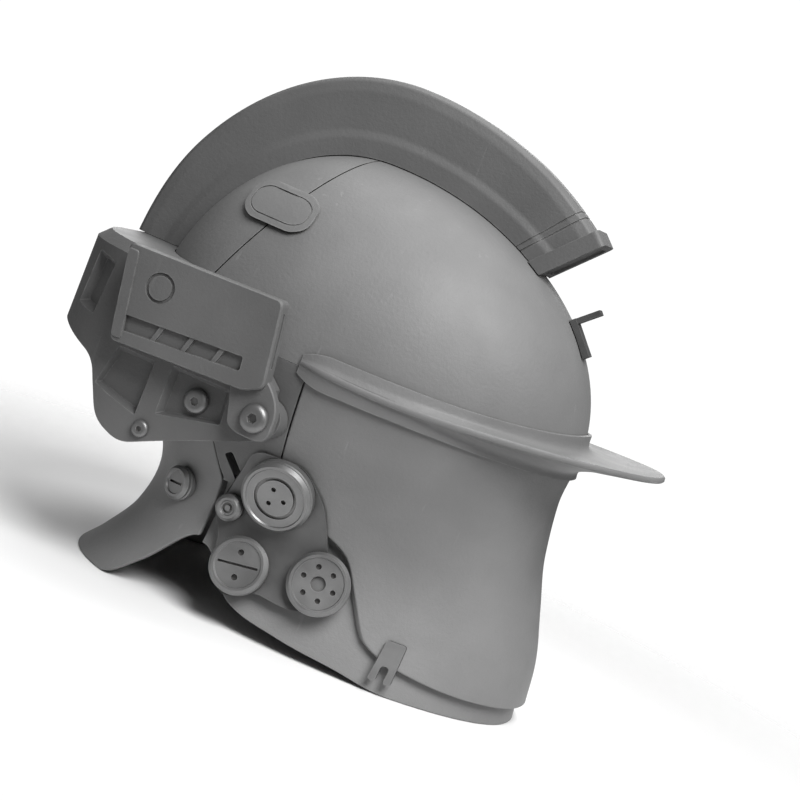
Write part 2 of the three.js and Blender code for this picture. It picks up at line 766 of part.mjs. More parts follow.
function pivotBolt() {
  const head = MODULE_INNER_Y + ARM_THICKNESS + GAP;
  const shank = BORE - GAP;
  const profile = [
    [0, 120], [shank, 120], [shank, head], [9, head], [9, head + 1.5], [7.5, head + 3.6], [3.5, head + 4.8],
    [3, head + 3], [0, head + 3],
  ];
  return stand(turned(profile, 16), new THREE.Vector3(PIVOT_X, 0, PIVOT_Z), new THREE.Vector3(0, -1, 0));
}

addPair("pivot_bolt", pivotBolt(), STEEL);

// ---------------------------------------------------------------- fittings on the housing

// A domed screw on the housing's side at x and z. floor is how far out its seat is.
function screw(x, z, radius, floor, height) {
  const top = floor + GAP + height;
  const profile = [
    [0, floor + GAP], [radius, floor + GAP], [radius, top - 1.4], [radius * 0.6, top], [radius * 0.5, top],
    [radius * 0.4, top - 1.2], [0, top - 1.2],
  ];
  return stand(turned(profile, 12), new THREE.Vector3(x, 0, z), new THREE.Vector3(0, -1, 0));
}

addPair("pocket_boss", screw(-71, 127, 8, HOUSING_HALF_WIDTH - 5, 4.5), STEEL);
addPair("housing_screw", screw(-97, 98, 5.5, HOUSING_HALF_WIDTH, 3), STEEL);

// ---------------------------------------------------------------- discs

const PLATE_OUTER = 3;
const DISC_SEAT = PLATE_OUTER + GAP;
const discPlate = roundedShape(
  [
    [-44, 66], [-30, 112], [4, 114], [22, 96], [34, 66], [54, 58],
    [52, 36], [26, 28], [0, 30], [-12, 20], [-30, 28], [-34, 52],
  ],
  8,
);
addPair("disc_plate", formedPlate(discPlate, SEAT, PLATE_OUTER), PLATE);

// A disc on the wearer's right, square to the shell at x and z, with sunk details cut into its face.
function disc(x, z, radius, height, seat, cuts) {
  const { point, normal } = rightSide(x, z);
  const face = seat + height;
  const profile = [
    [0, -15], [radius, -15], [radius, face - 2], [radius - 2, face], [radius - 3.5, face],
    [radius - 4.2, face - 1], [0, face - 1],
  ];
  const cutters = cuts(radius - 4, face - 1);
  const body = cutters.reduce((whole, cutter) => whole.subtract(cutter), turned(profile, 20));
  return stand(body, point, normal).subtract(bodySolid(seat));
}

// Round holes on a circle in a disc's face.
function holes(count, circle, radius, face, from = 0) {
  const hole = bar(radius, face - 2.5, face + 2, 6);
  return Array.from({ length: count }, (_, i) => {
    const turn = from + (i / count) * 2 * Math.PI;
    return hole.translate([circle * Math.cos(turn), circle * Math.sin(turn), 0]);
  });
}

// A ring-shaped groove in a disc's face.
function ringGroove(inner, outer, face) {
  return bar(outer, face - 1.6, face + 2, 14).subtract(bar(inner, face - 3, face + 3, 14));
}

function slot(length, width, face, turn) {
  const box = solid(new THREE.BoxGeometry(length, width, 4));
  return box.translate([0, 0, face]).rotate([0, 0, turn]);
}

const earCuts = (r, face) => [ringGroove(0.62 * r, 0.74 * r, face), ...holes(3, 0.3 * r, 1.6, face)];
const jawCuts = (r, face) => [bar(0.3 * r, face - 2, face + 2, 20), ...holes(6, 0.66 * r, 1.8, face)];
const throatCuts = (r, face) => [slot(1.8 * r, 1.6, face, 12), ...holes(2, 0.55 * r, 2, face, 1.8)];
const linkCuts = (r, face) => [ringGroove(0.4 * r, 0.75 * r, face)];
const napeCuts = (r, face) => [slot(1.5 * r, 1.6, face, -20)];

addPair("ear_disc", disc(-7, 93, 23, 9, DISC_SEAT, earCuts), STEEL);
addPair("jaw_disc", disc(36, 48, 20, 8, DISC_SEAT, jawCuts), STEEL);
addPair("throat_disc", disc(-13, 39, 18.5, 8, DISC_SEAT, throatCuts), STEEL);
addPair("link_disc", disc(-34, 71, 8.5, 8, DISC_SEAT, linkCuts), STEEL);
addPair("nape_disc", disc(-72, 70, 11, 7, SEAT + 0.6, napeCuts), STEEL);

// ---------------------------------------------------------------- rim clips

const CLIP_X = 94;
const clipCorners = [[-7, 9], [-2.5, 9], [-2.5, 19], [2.5, 19], [2.5, 9], [7, 9], [6, 34], [-6, 34]];
addPair("rim_clip", formedPlate(roundedShape(moved(clipCorners, CLIP_X, 0), 2), SEAT, 3), PLATE);

export default helmet;
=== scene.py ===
"""Looks of the crested close helmet: fine shells, fittings, materials, light and camera round the CAD frame.

Shapes are worked out in millimetres, in the frame of the CAD model: +X forward, +Y the wearer's left, +Z up.
Pieces that come in pairs are made on the wearer's right and mirrored.
"""
import json
import math

import bmesh
import bpy
import numpy as np
from mathutils import Matrix, Vector, geometry


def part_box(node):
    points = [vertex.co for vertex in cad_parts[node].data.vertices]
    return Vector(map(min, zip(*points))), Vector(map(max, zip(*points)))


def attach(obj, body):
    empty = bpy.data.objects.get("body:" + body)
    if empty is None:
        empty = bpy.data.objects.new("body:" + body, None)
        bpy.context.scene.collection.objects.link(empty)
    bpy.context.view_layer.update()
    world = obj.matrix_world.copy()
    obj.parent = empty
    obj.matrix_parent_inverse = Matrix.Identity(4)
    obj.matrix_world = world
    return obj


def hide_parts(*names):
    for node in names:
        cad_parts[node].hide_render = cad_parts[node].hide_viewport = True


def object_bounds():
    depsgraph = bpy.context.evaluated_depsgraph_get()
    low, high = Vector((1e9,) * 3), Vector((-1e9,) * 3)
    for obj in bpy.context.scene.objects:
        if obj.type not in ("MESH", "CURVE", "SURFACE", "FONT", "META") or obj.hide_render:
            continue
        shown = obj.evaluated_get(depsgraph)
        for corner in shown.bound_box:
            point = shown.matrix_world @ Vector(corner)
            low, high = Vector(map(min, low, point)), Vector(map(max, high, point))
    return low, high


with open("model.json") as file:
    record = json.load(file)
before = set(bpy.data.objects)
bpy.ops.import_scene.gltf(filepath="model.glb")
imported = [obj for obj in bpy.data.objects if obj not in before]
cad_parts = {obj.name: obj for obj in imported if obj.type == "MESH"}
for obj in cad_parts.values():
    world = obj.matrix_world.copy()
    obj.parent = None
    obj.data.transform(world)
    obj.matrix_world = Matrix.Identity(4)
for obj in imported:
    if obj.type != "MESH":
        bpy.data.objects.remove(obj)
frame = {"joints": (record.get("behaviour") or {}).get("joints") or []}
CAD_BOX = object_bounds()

MM = 0.001
PI = math.pi


def to_mm(metres):
    """Millimetres, to a tenth."""
    return round(metres / MM, 1)


# Skull and lower body, as in the CAD model
CENTRE_X = -40.0
BROW_Z = 172.0
SKULL_HEIGHT = 134.0
PLAN_POWER = 2.25
WALL = 4.0
GAP = 0.4
SEAT = 0.7
FAR = 400.0
KEEL_SPREAD = 0.3

# Seams
POLE_X = -111.0
CROWN_SEAM = math.radians(66)
CROWN_GAP = 0.9
RIB_END = math.radians(87)
FACE_REAR_X = -13.0
NECK_REAR_X = -45.0
NECK_INSET = WALL + 1.8
NECK_LAP = 5.0
SIDE_GAP = 0.007

# Comb, brim, housing and modules
COMB_HALF_WIDTH = 15.0
COMB_WAIST = 1.5  # the comb is this much narrower each side above its foot
COMB_WALL = 3.0
COMB_FOOT = -5.0  # the comb starts this far inside the skull, and is then cut to it
COMB_FRONT = math.radians(46)
COMB_REAR = math.radians(173)
BRIM_REAR_X = -20.0
BRIM_SIDE_Z = 175.0
BRIM_TIP_Z = 184.0
BRIM_FADE = math.radians(9)  # the brim's ends fade into the shell over this angle
HOUSING_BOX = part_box("rear_housing")
HALF_LENGTH = to_mm(-HOUSING_BOX[0].x)
HOUSING_TOP = to_mm(HOUSING_BOX[1].z)
HOUSING_HALF_WIDTH = to_mm(HOUSING_BOX[1].y)
HOUSING_FRONT_X = -26.0
HOUSING_FOOT_Z = 60.0
PIVOT_X, _, PIVOT_Z = (to_mm(v) for v in frame["joints"][0]["pos_m"])
LUG_RADIUS = 13.0
LUG_INNER_Y = 104.0
BORE = 5.0
BORE_FLOOR_Y = 119.0
MODULE_INNER_Y = HOUSING_HALF_WIDTH + 1.5
MODULE_OUTER_Y = MODULE_INNER_Y + 14.0
ARM_OUTER_Y = MODULE_INNER_Y + 8.0


# ---------------------------------------------------------------- curves and the body's surface

def smooth(points):
    """A smooth curve v(u) through (u, v) points, level before the first and after the last."""
    u, v = (np.array(column, float) for column in zip(*points))
    slope = np.zeros(len(u))
    slope[1:-1] = (v[2:] - v[:-2]) / (u[2:] - u[:-2])

    def curve(x):
        x = np.clip(x, u[0], u[-1])
        i = np.clip(np.searchsorted(u, x, side="right") - 1, 0, len(u) - 2)
        step = u[i + 1] - u[i]
        t = (x - u[i]) / step
        bend = t * (1 - t) * step * (slope[i] * (1 - t) - slope[i + 1] * t)
        return v[i] + (v[i + 1] - v[i]) * t * t * (3 - 2 * t) + bend

    return curve


# The body's reach from its centre line, by height, and the keel down its front
FRONT_REACH = smooth([
    (-20, 207), (0, 205), (14, 203), (40, 198), (72, 187), (105, 177), (140, 176), (BROW_Z, 181)])
REAR_REACH = smooth([
    (-20, 124), (0, 106), (14, 94), (40, 78), (72, 74), (105, 89), (140, 110), (BROW_Z, 119)])
SIDE_REACH = smooth([
    (-20, 124), (0, 115), (14, 109), (40, 98), (72, 92), (105, 101), (140, 113), (BROW_Z, 118)])
KEEL = smooth([(0, 6), (60, 9), (110, 8), (BROW_Z, 0)])

# The heights of seams and lower edges, by x, and the comb's rise above the skull, by angle
RIM_SEAM = smooth([(-13, 84), (19, 80), (44, 70), (60, 48), (76, 27), (109, 17), (164, 13)])
NECK_EDGE = smooth([(-45, 42), (-11, 17), (29, 9), (69, 5), (109, 0)])
NAPE_EDGE = smooth([(-100, 0), (-76, 17), (-46, 46)])
COMB_RISE = smooth([(0.6, 44), (1.1, 50), (1.75, 53), (2.5, 46), (3.1, 37.5)])


def nape_front(z):
    """The x of the nape guard's front edge, by height."""
    return -46 - 0.62 * np.maximum(0, z - 84)


def body_radius(z, angle, offset=0.0):
    """Distance from the centre line to the body at a height and plan angle, moved outwards by offset."""
    z, angle = np.broadcast_arrays(np.asarray(z, float), np.asarray(angle, float))
    above = np.maximum(0, z - BROW_Z) / (SKULL_HEIGHT + offset)
    shrink = np.sqrt(np.maximum(0, 1 - above ** 2))
    c, s = np.cos(angle), np.sin(angle)
    along = np.where(c > 0, FRONT_REACH(z), REAR_REACH(z)) + offset
    across = SIDE_REACH(z) + offset
    plan = np.abs(c / along) ** PLAN_POWER + np.abs(s / across) ** PLAN_POWER
    keel = KEEL(z) * np.exp(-((np.arctan2(s, c) / KEEL_SPREAD) ** 2))
    return shrink * plan ** (-1 / PLAN_POWER) + keel


def body_points(z, angle, offset=0.0):
    """Points on the body at heights and plan angles."""
    r = body_radius(z, angle, offset)
    z = np.broadcast_to(z, r.shape)
    return np.stack([CENTRE_X + r * np.cos(angle), r * np.sin(angle), z], -1)


def body_hit(start, direction, offset=0.0):
    """Where rays from a point inside leave the body."""
    near = np.zeros(direction.shape[:-1])
    far = np.full(direction.shape[:-1], FAR)
    for _ in range(40):
        middle = (near + far) / 2
        p = start + direction * middle[..., None]
        x = p[..., 0] - CENTRE_X
        inside = np.hypot(x, p[..., 1]) < body_radius(p[..., 2], np.arctan2(p[..., 1], x), offset)
        near = np.where(inside, middle, near)
        far = np.where(inside, far, middle)
    return start + direction * near[..., None]


def angle_at(x, z, offset=0.0):
    """The plan angle, from 0 to a half turn, at which the body's level section at z reaches x."""
    x, z = np.broadcast_arrays(np.asarray(x, float), np.asarray(z, float))
    front, rear = np.zeros(x.shape), np.full(x.shape, PI)
    for _ in range(40):
        middle = (front + rear) / 2
        ahead = CENTRE_X + body_radius(z, middle, offset) * np.cos(middle) > x
        front = np.where(ahead, middle, front)
        rear = np.where(ahead, rear, middle)
    return front


def right_side(x, z):
    """The point on the wearer's right at x and z, and the way the surface faces there."""
    angle = -float(angle_at(x, z))
    along = body_points(z, angle + 0.02) - body_points(z, angle - 0.02)
    up = body_points(z + 1, angle) - body_points(z - 1, angle)
    return Vector(body_points(z, angle)), Vector(np.cross(along, up)).normalized()


# ---------------------------------------------------------------- making meshes

def make(name, vertices, faces):
    """A mesh object from vertices in millimetres, with its faces pointing out and shaded smooth."""
    mesh = bpy.data.meshes.new(name)
    mesh.from_pydata((np.asarray(vertices, float) * MM).tolist(), [], faces)
    return tidy(name, mesh)


def tidy(name, mesh):
    """An object of a mesh, with the mesh's faces pointing out and shaded smooth."""
    bm = bmesh.new()
    bm.from_mesh(mesh)
    bmesh.ops.recalc_face_normals(bm, faces=bm.faces)
    bm.to_mesh(mesh)
    bm.free()
    mesh.polygons.foreach_set("use_smooth", [True] * len(mesh.polygons))
    piece = bpy.data.objects.new(name, mesh)
    bpy.context.collection.objects.link(piece)
    return piece


def discard(piece):
    mesh = piece.data
    bpy.data.objects.remove(piece)
    bpy.data.meshes.remove(mesh)


def settle(piece):
    """Applies the piece's modifiers."""
    evaluated = piece.evaluated_get(bpy.context.evaluated_depsgraph_get())
    mesh = bpy.data.meshes.new_from_object(evaluated)
    old = piece.data
    piece.modifiers.clear()
    piece.data = mesh
    bpy.data.meshes.remove(old)
    return piece


def combine(piece, other, operation, keep=False):
    """A boolean of two pieces, left in the first. The other goes, unless keep."""
    cut = piece.modifiers.new("combine", "BOOLEAN")
    cut.operation = operation
    cut.solver = "MANIFOLD"
    cut.object = other
    settle(piece)
    if not keep:
        discard(other)
    return piece


def cut(piece, other, keep=False):
    return combine(piece, other, "DIFFERENCE", keep)


def join(piece, other):
    return combine(piece, other, "UNION")


def common(piece, other):
    return combine(piece, other, "INTERSECT")


def mirror(piece):
    """Mirrors the piece's mesh across the middle."""
    piece.data.transform(Matrix.Scale(-1, 4, (0, 1, 0)))
    piece.data.flip_normals()


def mirrored_copy(piece):
    """The piece's mirror image on the wearer's left, with the same modifiers. Names both by their sides."""
    other = piece.copy()
    other.data = piece.data.copy()
    mirror(other)
    bpy.context.collection.objects.link(other)
    stem = piece.name
    piece.name, other.name = stem + "_right", stem + "_left"
    return other


def grid_faces(rows, columns, start=0, close=False):
    """Quads over a grid of points in rows. close joins each row's last point to its first."""
    faces = []
    for i in range(rows - 1):
        for j in range(columns - (0 if close else 1)):
            a, b = i * columns + j, i * columns + (j + 1) % columns
            faces.append((start + a, start + b, start + b + columns, start + a + columns))
    return faces


def wall_piece(name, outer, inner):
    """A wall between two equal grids of points."""
    rows, columns, _ = outer.shape
    count = rows * columns
    faces = grid_faces(rows, columns) + grid_faces(rows, columns, count)
    rim = [(0, j) for j in range(columns)] + [(i, columns - 1) for i in range(1, rows)]
    rim += [(rows - 1, j) for j in range(columns - 2, -1, -1)] + [(i, 0) for i in range(rows - 2, 0, -1)]
    rim = [i * columns + j for i, j in rim]
    faces += [(a, b, b + count, a + count) for a, b in zip(rim, rim[1:] + rim[:1])]
    return make(name, np.concatenate([outer.reshape(-1, 3), inner.reshape(-1, 3)]), faces)


def loft(name, loops):
    """A closed piece through closed loops of points, both ends capped."""
    rows, columns, _ = loops.shape
    faces = grid_faces(rows, columns, close=True)
    faces += [tuple(range(columns)), tuple(range((rows - 1) * columns, rows * columns))]
    return make(name, loops.reshape(-1, 3), faces)


def rounded(corners, radius, steps=8):
    """An outline with straight sides and rounded corners."""
    corners = [Vector(c) for c in corners]
    outline = []
    for i, corner in enumerate(corners):
        before, after = corners[i - 1], corners[(i + 1) % len(corners)]
        r = min(radius, 0.45 * (corner - before).length, 0.45 * (corner - after).length)
        a = corner + (before - corner).normalized() * r
        b = corner + (after - corner).normalized() * r
        for k in range(steps + 1):
            t = k / steps
            outline.append(tuple(a * (1 - t) ** 2 + corner * (2 * t * (1 - t)) + b * t * t))
    return outline


def slab(outline, low, high, name="slab"):
    """An outline in side view, on x and z, as a piece from y = low to y = high."""
    near = [(x, low, z) for x, z in outline]
    return loft(name, np.array([near, [(x, high, z) for x, z in outline]], float))


def side_slab(outline, inner, outer, name="slab"):
    """The same on the wearer's right, between two distances off the middle."""
    return slab(outline, -outer, -inner, name)


def turned(profile, steps=72, name="turned"):
    """A turned piece on its own Z axis from (radius, height) points, both ends on the axis."""
    angles = np.linspace(0, 2 * PI, steps, endpoint=False)
    ring = [[(r * math.cos(a), r * math.sin(a), h) for a in angles] for r, h in profile[1:-1]]
    vertices = np.array(ring).reshape(-1, 3)
    faces = grid_faces(len(ring), steps, close=True)
    last = (len(ring) - 1) * steps
    faces += [tuple(range(steps)), tuple(range(last, last + steps))]
    return make(name, vertices, faces)


def stand(piece, point, direction, spin=0.0):
    """Stands a piece's own Z axis along a direction from a point."""
    turn = Vector((0, 0, 1)).rotation_difference(Vector(direction)).to_matrix().to_4x4()
    place = Matrix.Translation(Vector(point) * MM) @ turn @ Matrix.Rotation(spin, 4, "Z")
    piece.data.transform(place)
    return piece


def side_bar(x, z, radius, inner, outer, steps=48):
    """A round bar on the wearer's right, between two distances off the middle."""
    profile = [(0, inner), (radius, inner), (radius, outer), (0, outer)]
    return stand(turned(profile, steps), (x, 0, z), (0, -1, 0))


def block(size, centre, turn=None, name="block"):
    """A box, turned about its middle and then moved to centre."""
    x, y, z = (s / 2 for s in size)
    corners = [(-x, -y), (x, -y), (x, y), (-x, y)]
    loops = np.array([[(a, b, h) for a, b in corners] for h in (-z, z)], float)
    piece = loft(name, loops)
    if turn is not None:
        piece.data.transform(turn)
    piece.data.transform(Matrix.Translation(Vector(centre) * MM))
    return piece


FLATNESS = 60  # how far a weighted normal follows the larger faces


def soften(piece, width, segments=3, angle=32):
    """Rounds the piece's edges that turn by more than angle."""
    bevel = piece.modifiers.new("edges", "BEVEL")
    bevel.limit_method = "ANGLE"
    bevel.angle_limit = math.radians(angle)
    bevel.width = width * MM
    bevel.segments = segments
    bevel.miter_outer = "MITER_ARC"
    bevel.harden_normals = True
    normals = piece.modifiers.new("normals", "WEIGHTED_NORMAL")
    normals.keep_sharp = False
    normals.weight = FLATNESS
    return piece


def crisp(piece, angle=38):
    """Keeps the piece's edges sharp where they turn by more than angle, and its flats flat."""
    piece.data.set_sharp_from_angle(angle=math.radians(angle))
    normals = piece.modifiers.new("normals", "WEIGHTED_NORMAL")
    normals.keep_sharp = True
    normals.weight = FLATNESS
    return piece


body_cache = {}


def body_piece(offset, around=192):
    """The whole body as one closed piece, moved outwards by offset."""
    if offset not in body_cache:
        low = np.arange(-12, BROW_Z, 4.0)
        high = BROW_Z + (SKULL_HEIGHT + offset) * np.sin(np.linspace(0, PI / 2, 48, endpoint=False))
        z = np.concatenate([low, high])[:, None]
        angles = np.linspace(0, 2 * PI, around, endpoint=False)[None, :]
        body_cache[offset] = loft("body", body_points(z, angles, offset))
    return body_cache[offset]


# ---------------------------------------------------------------- shells

def skull_shell(name, rib_from, rib_to, shift, across, up):
    """A shell of the skull, swept between two ribs that meet at a pole, moved clear of the crown seam."""
    pole = np.array([POLE_X + math.sin(CROWN_SEAM) * shift, 0, BROW_Z - math.cos(CROWN_SEAM) * shift])
    ribs = np.linspace(rib_from, rib_to, up)[:, None]
    swings = np.linspace(-RIB_END, RIB_END, across)[None, :]
    direction = np.stack(np.broadcast_arrays(
        np.cos(ribs) * np.cos(swings), np.sin(swings), np.sin(ribs) * np.cos(swings)), -1)
    return wall_piece(name, body_hit(pole, direction), body_hit(pole, direction, -WALL))


def panel(name, start, end, low, high, outer, across, up):
    """A four-sided piece of the body.

    start(z) and end(z) are its side edges' plan angles, low(x) and high(x) its heights.
    """
    s = np.linspace(0, 1, across)[None, :]
    t = np.linspace(0, 1, up)[:, None]
    s, t = np.broadcast_arrays(s, t)
    z = np.full(s.shape, BROW_Z / 2)
    for _ in range(60):
        angle = start(z) + (end(z) - start(z)) * s
        x = body_points(z, angle)[..., 0]
        z = 0.5 * z + 0.5 * (low(x) + (high(x) - low(x)) * t)
    return wall_piece(name, body_points(z, angle, outer), body_points(z, angle, outer - WALL))


def level(height):
    """A height that is the same at every x."""
    return lambda x: np.full(np.shape(x), float(height))


BELOW_BROW = BROW_Z - GAP


def edge_angle(x_at):
    """The plan angle, by height, of an edge that runs down the wearer's left at x = x_at(z)."""
    heights = np.linspace(-20, BROW_Z, 1200)
    angles = angle_at(x_at(heights), heights)
    return lambda z: np.interp(z, heights, angles)


face_angle = edge_angle(level(FACE_REAR_X))
neck_angle = edge_angle(level(NECK_REAR_X))
nape_angle = edge_angle(nape_front)


def make_shells():
    shells = {
        "visor": skull_shell("visor_shell", 0, CROWN_SEAM, CROWN_GAP / 2, 121, 61),
        "rear_shell": skull_shell("rear_skull", CROWN_SEAM, PI, -CROWN_GAP / 2, 121, 81),
        "face_guard": panel(
            "face_shell", lambda z: -face_angle(z), face_angle, RIM_SEAM, level(BELOW_BROW), 0, 161, 61),
        "neck_rim": panel(
            "neck_band", lambda z: -neck_angle(z), neck_angle, NECK_EDGE, lambda x: RIM_SEAM(x) + NECK_LAP,
            -NECK_INSET, 161, 25),
        "nape_guard": panel(
            "nape_shell", lambda z: nape_angle(z) + SIDE_GAP, lambda z: 2 * PI - nape_angle(z) - SIDE_GAP,
            NAPE_EDGE, level(BELOW_BROW), 0, 121, 71),
    }
    for node, piece in shells.items():
        if node in ("visor", "rear_shell"):
            soften(piece, 1.7, 2, angle=50)
        else:
            soften(piece, 1.1, angle=50)
        finish_piece(piece, "shell", node)


# ---------------------------------------------------------------- pieces on the body's surface

INSIDE = 1  # delaunay_2d_cdt's output of triangles inside the edges given


def outline_mesh(outline, holes, pitch):
    """Triangles over an outline with holes, on x and z, with points at the given pitch inside."""
    loops = [outline, *holes]
    points = [p for loop in loops for p in loop]
    edges, start = [], 0
    for loop in loops:
        edges += [(start + i, start + (i + 1) % len(loop)) for i in range(len(loop))]
        start += len(loop)
    border = np.array(points)
    (x0, z0), (x1, z1) = border.min(0), border.max(0)
    for i, x in enumerate(np.arange(x0 + pitch / 2, x1, pitch)):
        for z in np.arange(z0 + (i % 2) * pitch / 2, z1, pitch):
            if np.hypot(border[:, 0] - x, border[:, 1] - z).min() > 0.6 * pitch:
                points.append((x, z))
    filled = geometry.delaunay_2d_cdt([Vector(p) for p in points], edges, [], INSIDE, 1e-5)
    flat = np.array([tuple(v) for v in filled[0]])
    solid = [tuple(face) for face in filled[2]
             if not any(inside(flat[list(face)].mean(0), hole) for hole in holes)]
    return flat, solid


def inside(point, outline):
    """Whether a point lies inside an outline."""
    crossings = 0
    for (x0, z0), (x1, z1) in zip(outline, outline[1:] + outline[:1]):
        if (z0 > point[1]) != (z1 > point[1]):
            crossings += point[0] < x0 + (point[1] - z0) / (z1 - z0) * (x1 - x0)
    return crossings % 2 == 1


def formed(name, outline, inner, outer, holes=(), pitch=2.2):
    """A plate on the wearer's right that follows the body between two offsets."""
    flat, faces = outline_mesh(outline, holes, pitch)
    sides = []
    for offset in (outer, inner):
        angle = angle_at(flat[:, 0], flat[:, 1], offset)
        sides.append(body_points(flat[:, 1], -angle, offset))
    count = len(flat)
    used = {}
    for face in faces:
        for a, b in zip(face, face[1:] + face[:1]):
            used[(a, b)] = used.get((a, b), 0) + 1
    rim = [(a, b) for a, b in used if (b, a) not in used]
    walls = [(a, b, b + count, a + count) for a, b in rim]
    under = [tuple(v + count for v in face) for face in faces]
    return make(name, np.concatenate(sides), faces + under + walls)


def shifted(corners, x, z):
    return [(a + x, b + z) for a, b in corners]


def make_side_panels():
    def vent(x, z):
        return rounded([(x, z), (x + 5, z + 3), (x - 9, z + 19), (x - 14, z + 16)], 2.4)

    right = panel(
        "vent_panel", lambda z: -nape_angle(z), lambda z: -face_angle(z) - SIDE_GAP,
        level(RIM_SEAM(FACE_REAR_X) + GAP), level(BELOW_BROW), 0, 61, 61)
    for x, z in ((-36, 85), (-50, 82)):
        cut(right, side_slab(vent(x, z), 20, FAR))
    soften(right, 0.6)
    both_sides(right, "side_panel", "dark_shell")


HATCH_HALF_LENGTH = 26
HATCH_HALF_WIDTH = 13
HATCH_PLACE = (-79, 256)


def make_hatches():
    long, wide = HATCH_HALF_LENGTH, HATCH_HALF_WIDTH
    half = [(-long, -7), (-17, -wide), (17, -wide), (long, -7)]
    corners = half + [(-a, -b) for a, b in half]

    def outline(inset):
        smaller = [(a * (1 - inset / long), b * (1 - inset / wide)) for a, b in corners]
        return rounded(shifted(smaller, *HATCH_PLACE), 5)

    right = formed("hatch_cover", outline(0), SEAT, 2.8)
    cut(right, formed("groove", outline(3.4), 2.3, 4, holes=[outline(4.3)], pitch=1.5))
    soften(right, 0.6)
    both_sides(right, "hatch", "shell")


PLATE_OUTER = 3.0
DISC_SEAT = PLATE_OUTER + GAP


def make_disc_plates():
    corners = [(-44, 66), (-30, 112), (4, 114), (22, 96), (34, 66), (54, 58), (52, 36), (26, 28), (0, 30),
               (-12, 20), (-30, 28), (-34, 52)]
    right = formed("disc_backplate", rounded(corners, 8), SEAT, PLATE_OUTER)
    soften(right, 0.7)
    both_sides(right, "disc_plate", "plate")


RIM_CLIP_X = 94


def make_rim_clips():
    corners = [(-7, 9), (-2.5, 9), (-2.5, 19), (2.5, 19), (2.5, 9), (7, 9), (6, 34), (-6, 34)]
    right = formed("rim_catch", rounded(shifted(corners, RIM_CLIP_X, 0), 2), SEAT, 3, pitch=1.4)
    soften(right, 0.5)
    both_sides(right, "rim_clip", "plate")


# ---------------------------------------------------------------- brim

def brim_section(angle):
    """Section through the brim at a plan angle: (outwards from the skull, height)."""
    peak = math.cos(angle) ** 8
    tip = HALF_LENGTH - float(body_points(BRIM_TIP_Z + 1, 0.0)[0])
    reach = 6 + (tip - 6) * peak
    dip = 5 * math.sin(angle) ** 2 * math.sin(2 * angle) ** 2
    edge = BRIM_SIDE_Z - dip + (BRIM_TIP_Z - BRIM_SIDE_Z) * peak
    rise = 9 + 8 * peak
    root = 176 - rise * 0.1
    collar = 3.6  # how far the collar on the skull stands out at the flange
    spread = reach - collar
    lift = edge - root
    top = [(SEAT, root + rise), (3, root + rise), (collar, root + rise * 0.45),
           (collar + spread * 0.25, root + rise * 0.12 + lift * 0.25 + 1.5),
           (collar + spread * 0.6, root + lift * 0.6 + 1.5), (reach - 1, edge + 2)]
    nose = [(reach, edge + 1), (reach, edge - 1), (reach - 1, edge - 2)]
    under = [(collar + spread * 0.6, root + lift * 0.6 - 2.5),
             (collar + spread * 0.25, root + lift * 0.25 - 3.5), (3.4, root - 7), (3, root - 13),
             (SEAT, root - 13), (SEAT, BROW_Z + 3)]
    return eased(top[1:]) + nose[:2] + eased([nose[2], *under[:4]]) + under[4:] + top[:1]


def eased(points, steps=5):
    """Extra points between each two, on a smooth curve through them all."""
    p = np.array([points[0], *points, points[-1]], float)
    out = []
    for i in range(1, len(p) - 2):
        for k in range(steps):
            t = k / steps
            out.append(tuple(0.5 * (
                2 * p[i] + (p[i + 1] - p[i - 1]) * t
                + (2 * p[i - 1] - 5 * p[i] + 4 * p[i + 1] - p[i + 2]) * t ** 2
                + (3 * p[i] - p[i - 1] - 3 * p[i + 1] + p[i + 2]) * t ** 3)))
    return out + [points[-1]]


def make_brim():
    end = float(angle_at(BRIM_REAR_X, BROW_Z))
    loops = []
    for share in np.linspace(-1, 1, 181):
        angle = end * share * (0.6 + 0.4 * abs(share))
        out, z = np.array(brim_section(angle)).T
        fade = 1 - max(0, 1 - (end - abs(angle)) / BRIM_FADE) ** 2
        out = SEAT + (out - SEAT) * (0.25 + 0.75 * fade)
        z = BROW_Z + 2 + (z - BROW_Z - 2) * (0.55 + 0.45 * fade)
        r = body_radius(z, angle) + out
        loops.append(np.stack([CENTRE_X + r * math.cos(angle), r * math.sin(angle), z], -1))
    piece = soften(loft("brow_brim", np.array(loops)), 0.5, angle=48)
    finish_piece(piece, "shell", "brim")


# ---------------------------------------------------------------- comb

def comb_point(angle, rise, y):
    """A point over the skull's middle line, at an angle up from straight ahead."""
    direction = np.array([math.cos(angle), 0, math.sin(angle)])
    p = body_hit(np.array([CENTRE_X, 0, BROW_Z + 0.01]), direction)
    p = p + direction * rise
    return (p[0], y, p[2])


def comb_section(angle, inset):
    """The comb's section as (rise above the skull, y). inset sinks its sides and top a little."""
    half = COMB_HALF_WIDTH - inset
    waist = half - COMB_WAIST
    top = float(COMB_RISE(angle)) - inset
    inner = COMB_HALF_WIDTH - COMB_WAIST - COMB_WALL
    outside = [
        (COMB_FOOT, half), (12, half), (17, waist), (top - 10, waist), (top - 3, half - 3), (top, half - 7)]
    inside = [(top - COMB_WALL - 1, half - 8.5), (top - 10, inner), (COMB_FOOT, inner)]

    def mirrored(points):
        return [(rise, -y) for rise, y in reversed(points)]

    return rounded([*outside, *mirrored(outside), *mirrored(inside), *inside], 1.3, 4)


